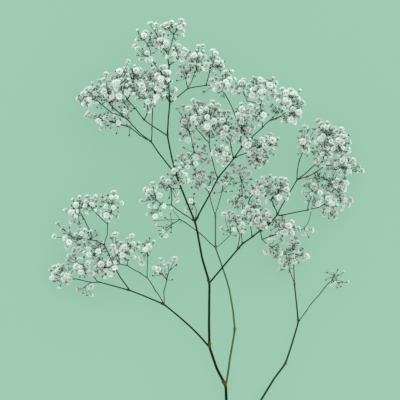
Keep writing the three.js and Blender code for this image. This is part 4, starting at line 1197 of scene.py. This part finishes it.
def rounded(points, radii):
    """A stem's path with rounded bends, in even steps, and its radius at each."""
    path = [points[0]]
    for before, bend, after, radius in zip(points, points[1:], points[2:], radii[1:]):
        back, on = unit(before - bend), unit(after - bend)
        half_turn = math.sqrt(max(0, (1 + back @ on) / 2))
        shorter = min(ROUNDING_SHARE * distance(before, bend), ROUNDING_SHARE * distance(bend, after))
        reach = min(STEM_ROUNDING, shorter, radius / max(half_turn, SHARPEST))
        for t in np.linspace(0, 1, ROUNDING_POINTS):
            path.append(bend + reach * ((1 - t) ** 2 * back + t * t * on))
    path = np.array([*path, points[-1]])
    runs = run_lengths(path)
    even = np.linspace(0, runs[-1], max(3, round(runs[-1] / STEM_STEP)))
    steps = np.column_stack([np.interp(even, runs, path[:, k]) for k in range(3)])
    return steps, np.interp(even, (0, runs[-1]), (radii[0], radii[-1]))


def internode(start, end, bow, rng):
    """Points along a twig between two nodes, close together near both, with a slight bow."""
    whole = distance(start, end)
    near = [step for step in NODE_STEPS if step < whole / NODE_STEPS_SHARE]
    inside = np.linspace(0, whole, TWIG_POINTS)[1:-1] if whole > SHORT_TWIG else [whole / 2]
    runs = np.array([*near, *inside, *(whole - step for step in near[::-1])])
    heading = (end - start) / whole
    side, _ = across(heading, rng.uniform(0, math.tau))
    lean = bow * whole * np.sin(np.pi * runs / whole)
    return start + runs[:, None] * heading + lean[:, None] * side, runs, whole


def twig_radius(load):
    return FINEST_RADIUS * load ** TWIG_LOAD_POWER


def twig(patch, points, loads, swell, bow, rng):
    """One bending twig, thinner past each fork and swollen at it."""
    centres, radii, nodes = [], [], []
    for k, (start, end) in enumerate(zip(points, points[1:])):
        last = k == len(points) - 2
        load = min(1, loads[k]) if last else loads[k]
        places, runs, whole = internode(start, end, bow * rng.uniform(*BOW_RANGE), rng)
        keep = slice(None) if last else slice(len(runs) - 1)
        end_swelling = swelling(whole - runs, NODE_REACH)
        near = np.maximum(swelling(runs, NODE_REACH), 0 if last else end_swelling)
        cup = CUP * end_swelling if last else 0
        centres.append(places[keep])
        nodes.append(near[keep])
        radii.append((twig_radius(load) * (1 + swell * near + cup))[keep])
    tone = rng.random()
    centres, radii, nodes = map(np.concatenate, (centres, radii, nodes))
    patch.tube(centres, radii, TWIG_SIDES, node=nodes, tone=tone)


def root_reach(owner):
    """The widest gap from a seated path's start to the bark that carries it."""
    return 2 * SEAT_GAP + (STEMS[owner][0][0] if owner in STEMS else TWIG_RADIUS)


def rooted(owner, points, values):
    """A path led back into what carries it, and its values, with the first one there as well."""
    first, seated = plant().roots[owner]
    foot, _, gap = plant().carrier(owner, seated)
    path = points
    if distance(points[0], seated) <= TINY and gap <= root_reach(owner):
        inside = plant().carrier(owner, first)[2] <= 0
        path = [first if inside else foot, *points[0 if distance(first, seated) > TINY else 1:]]
    return placed(path), [values[0]] * (len(path) - len(points)) + values


@functools.cache
def stem_nodes():
    """For every stem, the places where others leave it and the way each leaves."""
    nodes = {name: [] for name in STEMS}
    for owner, (_, seated) in plant().roots.items():
        foot, carrier, gap = plant().carrier(owner, seated)
        if carrier in nodes and gap < root_reach(owner):
            nodes[carrier].append(placed([foot, seated]))
    for name, (points, _) in plant().stems.items():
        for before, bend, after in zip(points, points[1:], points[2:]):
            turn = unit(after - bend) - unit(bend - before)
            at, beside = placed([bend, bend + turn])
            apart = min((distance(at, foot) for foot, _ in nodes[name]), default=math.inf)
            if math.sqrt(turn @ turn) > NODE_TURN and apart > NODES_APART:
                nodes[name].append((at, beside))
    return nodes


def bract(patch, origin, along, outward, radius, length):
    """A pointed papery scale that clasps a node and leans away from it."""
    sideways = np.cross(along, outward)
    points, tips, grain = [], [], []
    for share, half in BRACT_ROWS:
        out = radius * BRACT_CLASP + BRACT_LEAN * length * share ** BRACT_CURVE
        rise = length * (share - BRACT_FOOT)
        for hand in HANDS:
            sink = abs(hand) * radius * BRACT_SINK * (1 - share)
            spread = hand * half * min(length, BRACT_WIDEST * radius)
            points.append(origin + (out - sink) * outward + rise * along + spread * sideways)
            tips.append(share)
            grain.append((hand, share, length))
    quads = grid_quads(len(BRACT_ROWS), len(HANDS), False)
    patch.add(np.array(points), quads, (), np.array(grain, float), tip=np.array(tips))


def bract_pair(patch, origin, along, branch, radius, length):
    """Two scales at a node, one under the branch and one opposite."""
    outward = branch - (branch @ along) * along
    outward = unit(outward) if math.sqrt(outward @ outward) > LEAST_SIDE else across(along)[0]
    bract(patch, origin, along, outward, radius, length)
    bract(patch, origin, along, -outward, radius, length)


def facing(heading):
    """A stalk's heading, turned towards the light."""
    angle = math.acos(max(-1, min(1, heading @ LIGHT)))
    if not STRAIGHT < angle < math.pi - STRAIGHT:
        return heading
    turn = min(LARGEST_TURN, TURN_SHARE * angle)
    return (math.sin(angle - turn) * heading + math.sin(turn) * LIGHT) / math.sin(angle)


def seat(foot, beyond, size, rng):
    """The origin, axes and size of a head that stands on its stalk's end and looks at the light."""
    foot, beyond = placed([foot, beyond])
    heading = facing(unit(beyond - foot))
    return foot + CALYX_DEPTH * size * heading, rolled_axes(heading, rng), size


Floret = namedtuple("Floret", "owner place openness")
Floret.__doc__ = "A drawn floret: where it sits, and how open it is, from 0 to 1."


@functools.cache
def florets():
    """Every floret that opens on a shoot, and every young one at a fork."""
    rng = random.Random(SEED + 2)
    size = sizes(bpy.context).floret_width / MM / PATTERN_WIDTH
    made = []
    for shoot in plant().shoots:
        own = size * rng.uniform(*at_spray(FLORET_SIZES, shoot.owner))
        openness = rng.choice(YOUNG_OPENNESS if shoot.owner in BARELY_OPEN else OPENNESS)
        made.append(Floret(shoot.owner, seat(shoot.points[-1], shoot.centre, own, rng), openness))
    for head in plant().young:
        own = size * rng.uniform(*YOUNG_SIZES)
        foot = head.tip + CALYX_DEPTH * own * unit(head.fork - head.tip)
        made.append(Floret(head.owner, seat(foot, head.tip, own, rng), rng.choice(YOUNG_OPENNESS)))
    return made


def by_spray(items):
    """The items by the spray that owns them."""
    return {name: [item for item in items if item.owner == name] for name in SPRAYS}


def spray_pieces(kind, finish_names, items, draw):
    """One piece for each spray that has items of a kind, drawn one after another."""
    for name, owned in by_spray(items).items():
        if owned:
            patch = Patch()
            for item in owned:
                draw(patch, item)
            patch.piece(f"{name}_{kind}", finish_names, "flower_spray")


def sizes(context):
    return context.scene.gypsophila_sizes


class GYPSOPHILA_OT_stems(bpy.types.Operator):
    """Grow the woody stems, with rounded bends, swollen nodes, scales and a slanting cut end"""

    bl_idname = "gypsophila.stems"
    bl_label = "Stems"

    def execute(self, context):
        scales = Patch()
        swell = sizes(context).node_swell
        for name, (points, radii) in plant().stems.items():
            centres, widths = rounded(*rooted(name, points, radii))
            near = np.zeros(len(centres))
            for foot, leaving in stem_nodes()[name]:
                gaps = np.linalg.norm(centres - foot, axis=1)
                at = int(gaps.argmin())
                width = widths[at]
                near = np.maximum(near, swelling(gaps, STEM_NODE_REACH + width))
                along = unit(centres[min(at + 1, len(centres) - 1)] - centres[max(at - 1, 0)])
                length = sizes(context).bract_length / MM * (1 + width)
                bract_pair(scales, foot, along, leaving - foot, width * (1 + SCALE_SWELL * swell), length)
            widths *= 1 + swell * near
            cut = CUT_SLANT if name == "main_stem" else 0
            if not cut:
                widths[0] *= FOOT_TAPER
            patch = Patch()
            patch.stem(centres, widths, near * np.minimum(1, widths / WOODY_RADIUS) ** 2, cut)
            bark = BARKS.get(name, "olive")
            slot = "green_stem" if bark == "green" else "woody_stem"
            patch.piece(f"{name}_bark", (bark, "pith"), slot, name)
        scales.piece("stem_bracts", ("bract",), "woody_stem")
        return {"FINISHED"}


class GYPSOPHILA_OT_twigs(bpy.types.Operator):
    """Grow the forking twigs and the hair-thin stalks of the florets and buds"""

    bl_idname = "gypsophila.twigs"
    bl_label = "Twigs"

    def execute(self, context):
        rng = random.Random(SEED + 1)
        swell, bow = sizes(context).node_swell, sizes(context).twig_bow
        heads = by_spray(plant().young + plant().buds)
        for name, shoots in by_spray(plant().shoots).items():
            patch = Patch()
            for shoot in shoots:
                twig(patch, *rooted(name, shoot.points, shoot.loads), swell, bow, rng)
            for head in heads[name]:
                twig(patch, placed([head.fork, head.tip]), [HEAD_LOAD], swell, HEAD_BOW * bow, rng)
            patch.piece(f"{name}_twigs", ("twig",), "flower_spray", name)
        return {"FINISHED"}


class GYPSOPHILA_OT_petals(bpy.types.Operator):
    """Open the double florets, each a pompon of notched white petals"""

    bl_idname = "gypsophila.petals"
    bl_label = "Petals"

    def execute(self, context):
        rng = random.Random(SEED + 3)
        shapes = {openness: pompon(openness) for openness in (*OPENNESS, *YOUNG_OPENNESS)}

        def draw(patch, floret):
            # Painted shade for the florets of the shaded sprays, on top of a random dullness.
            painted_shade = SPRAY_SHADE_TONE if floret.owner.startswith(SHADED_SPRAYS) else 0
            patch.add_shape(shapes[floret.openness], floret.place, tone=painted_shade + TONE_RANGE * rng.random())

        spray_pieces("petals", ("petal",), florets(), draw)
        return {"FINISHED"}


class GYPSOPHILA_OT_calyxes(bpy.types.Operator):
    """Set a green five-toothed calyx under each floret"""

    bl_idname = "gypsophila.calyxes"
    bl_label = "Calyxes"

    def execute(self, context):
        bell = turned_shape(CALYX_PROFILE, CALYX_COLUMNS, CALYX_TOOTH)

        def draw(patch, floret):
            patch.add_shape(bell, floret.place)

        spray_pieces("calyxes", ("calyx",), florets(), draw)
        return {"FINISHED"}


class GYPSOPHILA_OT_buds(bpy.types.Operator):
    """Set round green buds with white tips on their stalks"""

    bl_idname = "gypsophila.buds"
    bl_label = "Buds"

    def execute(self, context):
        rng = random.Random(SEED + 4)
        size = sizes(context).bud_width / MM / (2 * BUD_RADIUS)
        green = turned_shape(BUD_PROFILE, BUD_COLUMNS)
        white = turned_shape(BUD_TIP_PROFILE, BUD_COLUMNS)

        def draw(patch, bud):
            fork, tip = placed([bud.fork, bud.tip])
            place = tip, rolled_axes(unit(tip - fork), rng), size * rng.uniform(*BUD_SIZES)
            patch.add_shape(green, place, 0, rng.uniform(*BUD_TONES))
            patch.add_shape(white, place, 1, rng.random())

        spray_pieces("buds", ("calyx", "petal"), plant().buds, draw)
        return {"FINISHED"}


class GYPSOPHILA_OT_bracts(bpy.types.Operator):
    """Clasp every fork of the twigs with a pair of dry scales"""

    bl_idname = "gypsophila.bracts"
    bl_label = "Bracts"

    def execute(self, context):
        length = sizes(context).bract_length / MM

        def draw(patch, fork):
            before, at, *ways = placed([fork.before, fork.point, *fork.branches])
            radius = twig_radius(BRACT_LOAD * len(ways))
            bract_pair(patch, at, unit(at - before), unit(ways[-1] - at), radius, length)

        spray_pieces("bracts", ("bract",), plant().forks, draw)
        return {"FINISHED"}


# The stage, in metres but for the sensor's mm: a mint floor with a glow of its own, a window to the
# upper right, and a camera that looks straight down and is VIEW_WIDTH wide at MIDDLE_HEIGHT.
FLOOR_HALF = 40.0
FLOOR_GLOW = 3.0
FLOOR_ROUGHNESS = 0.9
SKY_STRENGTH = 0.79
WINDOW_STRENGTH = 1.27
WINDOW_SPREAD = 1.6
WINDOW_FROM = (0.45, 0.7, 0.9)
SENSOR_WIDTH = 36.0
VIEW_CENTRE = (-0.0075, 0.0604)
VIEW_WIDTH = 0.4
CAMERA_HEIGHT = 4.0
MIDDLE_HEIGHT = 0.04


class GYPSOPHILA_OT_stage(bpy.types.Operator):
    """Lay a pale mint floor, light it softly and look straight down on the plant"""

    bl_idname = "gypsophila.stage"
    bl_label = "Stage"

    def execute(self, context):
        scene = context.scene
        ends = (-FLOOR_HALF, FLOOR_HALF)
        mesh = bpy.data.meshes.new("floor")
        mesh.from_pydata([(x, y, 0.0) for y in ends for x in ends], [], [(0, 1, 3, 2)])
        mint = (*scene.gypsophila_colours.floor, 1)
        mesh.materials.append(Finish("floor").surfaced(
            Base_Color=mint,
            Roughness=FLOOR_ROUGHNESS,
            Specular_IOR_Level=0.0,
            Emission_Color=mint,
            Emission_Strength=FLOOR_GLOW,
        ))
        floor = bpy.data.objects.new("floor", mesh)
        scene.collection.objects.link(floor)

        world = bpy.data.worlds.new("soft_light")
        world.use_nodes = True
        sky = world.node_tree.nodes["Background"].inputs
        sky["Strength"].default_value = SKY_STRENGTH
        sky["Color"].default_value = (1, 1, 1, 1)
        scene.world = world
        lamp = bpy.data.lights.new("window", "SUN")
        lamp.energy = WINDOW_STRENGTH
        lamp.angle = WINDOW_SPREAD
        window = bpy.data.objects.new("window", lamp)
        window.rotation_mode = "QUATERNION"
        window.rotation_quaternion = Vector(WINDOW_FROM).to_track_quat("Z", "Y")
        scene.collection.objects.link(window)

        lens = bpy.data.cameras.new("camera")
        lens.sensor_width = SENSOR_WIDTH
        lens.lens = SENSOR_WIDTH * (CAMERA_HEIGHT - MIDDLE_HEIGHT) / VIEW_WIDTH
        camera = bpy.data.objects.new("camera", lens)
        camera.location = (*VIEW_CENTRE, CAMERA_HEIGHT)
        scene.collection.objects.link(camera)
        scene.camera = camera
        scene.view_settings.view_transform = "Standard"
        return {"FINISHED"}


class GypsophilaSizes(bpy.types.PropertyGroup):
    """Sizes of the plant's small pieces."""

    floret_width: FloatProperty(
        name="Floret width", description="Across an open floret", default=0.0067,
        unit="LENGTH", subtype="DISTANCE")
    bud_width: FloatProperty(
        name="Bud width", description="Across a closed bud", default=0.0016,
        unit="LENGTH", subtype="DISTANCE")
    bract_length: FloatProperty(
        name="Bract length", description="Length of the scales at a fork", default=0.0012,
        unit="LENGTH", subtype="DISTANCE")
    node_swell: FloatProperty(
        name="Node swelling", description="How much thicker a node is, as a share", default=0.32,
        subtype="FACTOR")
    twig_bow: FloatProperty(
        name="Twig bow", description="How far a twig bows, as a share of its length", default=0.028,
        subtype="FACTOR")


def linear(value):
    """How much light a screen's colour value from 0 to 255 stands for, from 0 to 1."""
    return value / 255 / 12.92 if value < 10.3 else ((value / 255 + 0.055) / 1.055) ** 2.4


def colour_property(name, description, red, green, blue):
    """A colour given as it shows on a screen, from 0 to 255."""
    return FloatVectorProperty(
        name=name, description=description, default=(linear(red), linear(green), linear(blue)),
        subtype="COLOR", size=3, min=0, max=1)


class GypsophilaColours(bpy.types.PropertyGroup):
    """Colours of the plant and the floor."""

    petal: colour_property("Petal", "Petals in the middle of a floret", 246, 255, 248)
    # Painted shade: petals of a floret's outer whorls are greyer than its middle ones.
    petal_rim_painted_shade: colour_property("Outer petal", "Petals round a floret's rim", 232, 245, 236)
    foot: colour_property("Petal foot", "Foot of the petals", 226, 234, 208)
    # Dull petals: a random dullness, and painted shade on the shaded sprays.
    dull_and_shaded: colour_property("Aged petal", "Petals that have begun to age", 188, 202, 188)
    calyx: colour_property("Calyx", "Green bell under a floret", 70, 100, 56)
    calyx_vein: colour_property("Calyx vein", "Dark veins of the bell", 30, 54, 28)
    calyx_rim: colour_property("Calyx rim", "Thin rims of the teeth", 196, 204, 170)
    bud: colour_property("Bud", "Oldest of the closed buds", 38, 52, 26)
    twig: colour_property("Twig", "Lit side of the twigs", 20, 52, 22)
    twig_dark: colour_property("Dark twig", "Dark streaks of the twigs", 4, 22, 8)
    node: colour_property("Node", "Nodes of the twigs", 48, 46, 22)
    woody: colour_property("Woody bark", "Ridges of the old stems", 22, 48, 14)
    woody_dark: colour_property("Dark bark", "Hollows of the old stems", 6, 18, 4)
    woody_node: colour_property("Woody node", "Nodes of the stems", 96, 80, 40)
    olive: colour_property("Olive bark", "Ridges of the half-grown stems", 56, 98, 52)
    olive_dark: colour_property("Dark olive bark", "Hollows of the half-grown stems", 26, 56, 30)
    green: colour_property("Green bark", "Ridges of the young stem", 106, 140, 80)
    green_dark: colour_property("Dark green bark", "Hollows of the young stem", 44, 74, 40)
    fresh: colour_property("Fresh bark", "Bark of the stems' thin ends", 4, 40, 14)
    green_fresh: colour_property("Fresh green bark", "Bark of the young stem's thin end", 70, 106, 66)
    pith: colour_property("Pith", "Inside of the cut end", 214, 208, 168)
    bract: colour_property("Bract", "Dry scales", 84, 72, 42)
    bract_edge: colour_property("Bract edge", "Papery edges of the scales", 132, 120, 78)
    floor: colour_property("Floor", "Floor under the plant", 82, 107, 93)


OPERATORS = (
    GYPSOPHILA_OT_stage,
    GYPSOPHILA_OT_stems,
    GYPSOPHILA_OT_twigs,
    GYPSOPHILA_OT_petals,
    GYPSOPHILA_OT_calyxes,
    GYPSOPHILA_OT_buds,
    GYPSOPHILA_OT_bracts,
)


class GYPSOPHILA_PT_panel(bpy.types.Panel):
    """Lists the plant's pieces with their sizes and colours"""

    bl_idname = "GYPSOPHILA_PT_panel"
    bl_label = "Gypsophila stem"
    bl_space_type = "VIEW_3D"
    bl_region_type = "UI"
    bl_category = "Gypsophila"

    def draw(self, context):
        for operator in OPERATORS:
            self.layout.operator(operator.bl_idname)
        for group in (context.scene.gypsophila_sizes, context.scene.gypsophila_colours):
            for name in group.__annotations__:
                self.layout.prop(group, name)


CLASSES = (GypsophilaSizes, GypsophilaColours, *OPERATORS, GYPSOPHILA_PT_panel)


def register():
    for each in CLASSES:
        bpy.utils.register_class(each)
    bpy.types.Scene.gypsophila_sizes = PointerProperty(type=GypsophilaSizes)
    bpy.types.Scene.gypsophila_colours = PointerProperty(type=GypsophilaColours)


def unregister():
    del bpy.types.Scene.gypsophila_sizes
    del bpy.types.Scene.gypsophila_colours
    for each in reversed(CLASSES):
        bpy.utils.unregister_class(each)


def main():
    register()
    for operator in OPERATORS:
        group, name = operator.bl_idname.split(".")
        getattr(getattr(bpy.ops, group), name)()


if __name__ == "__main__":
    main()
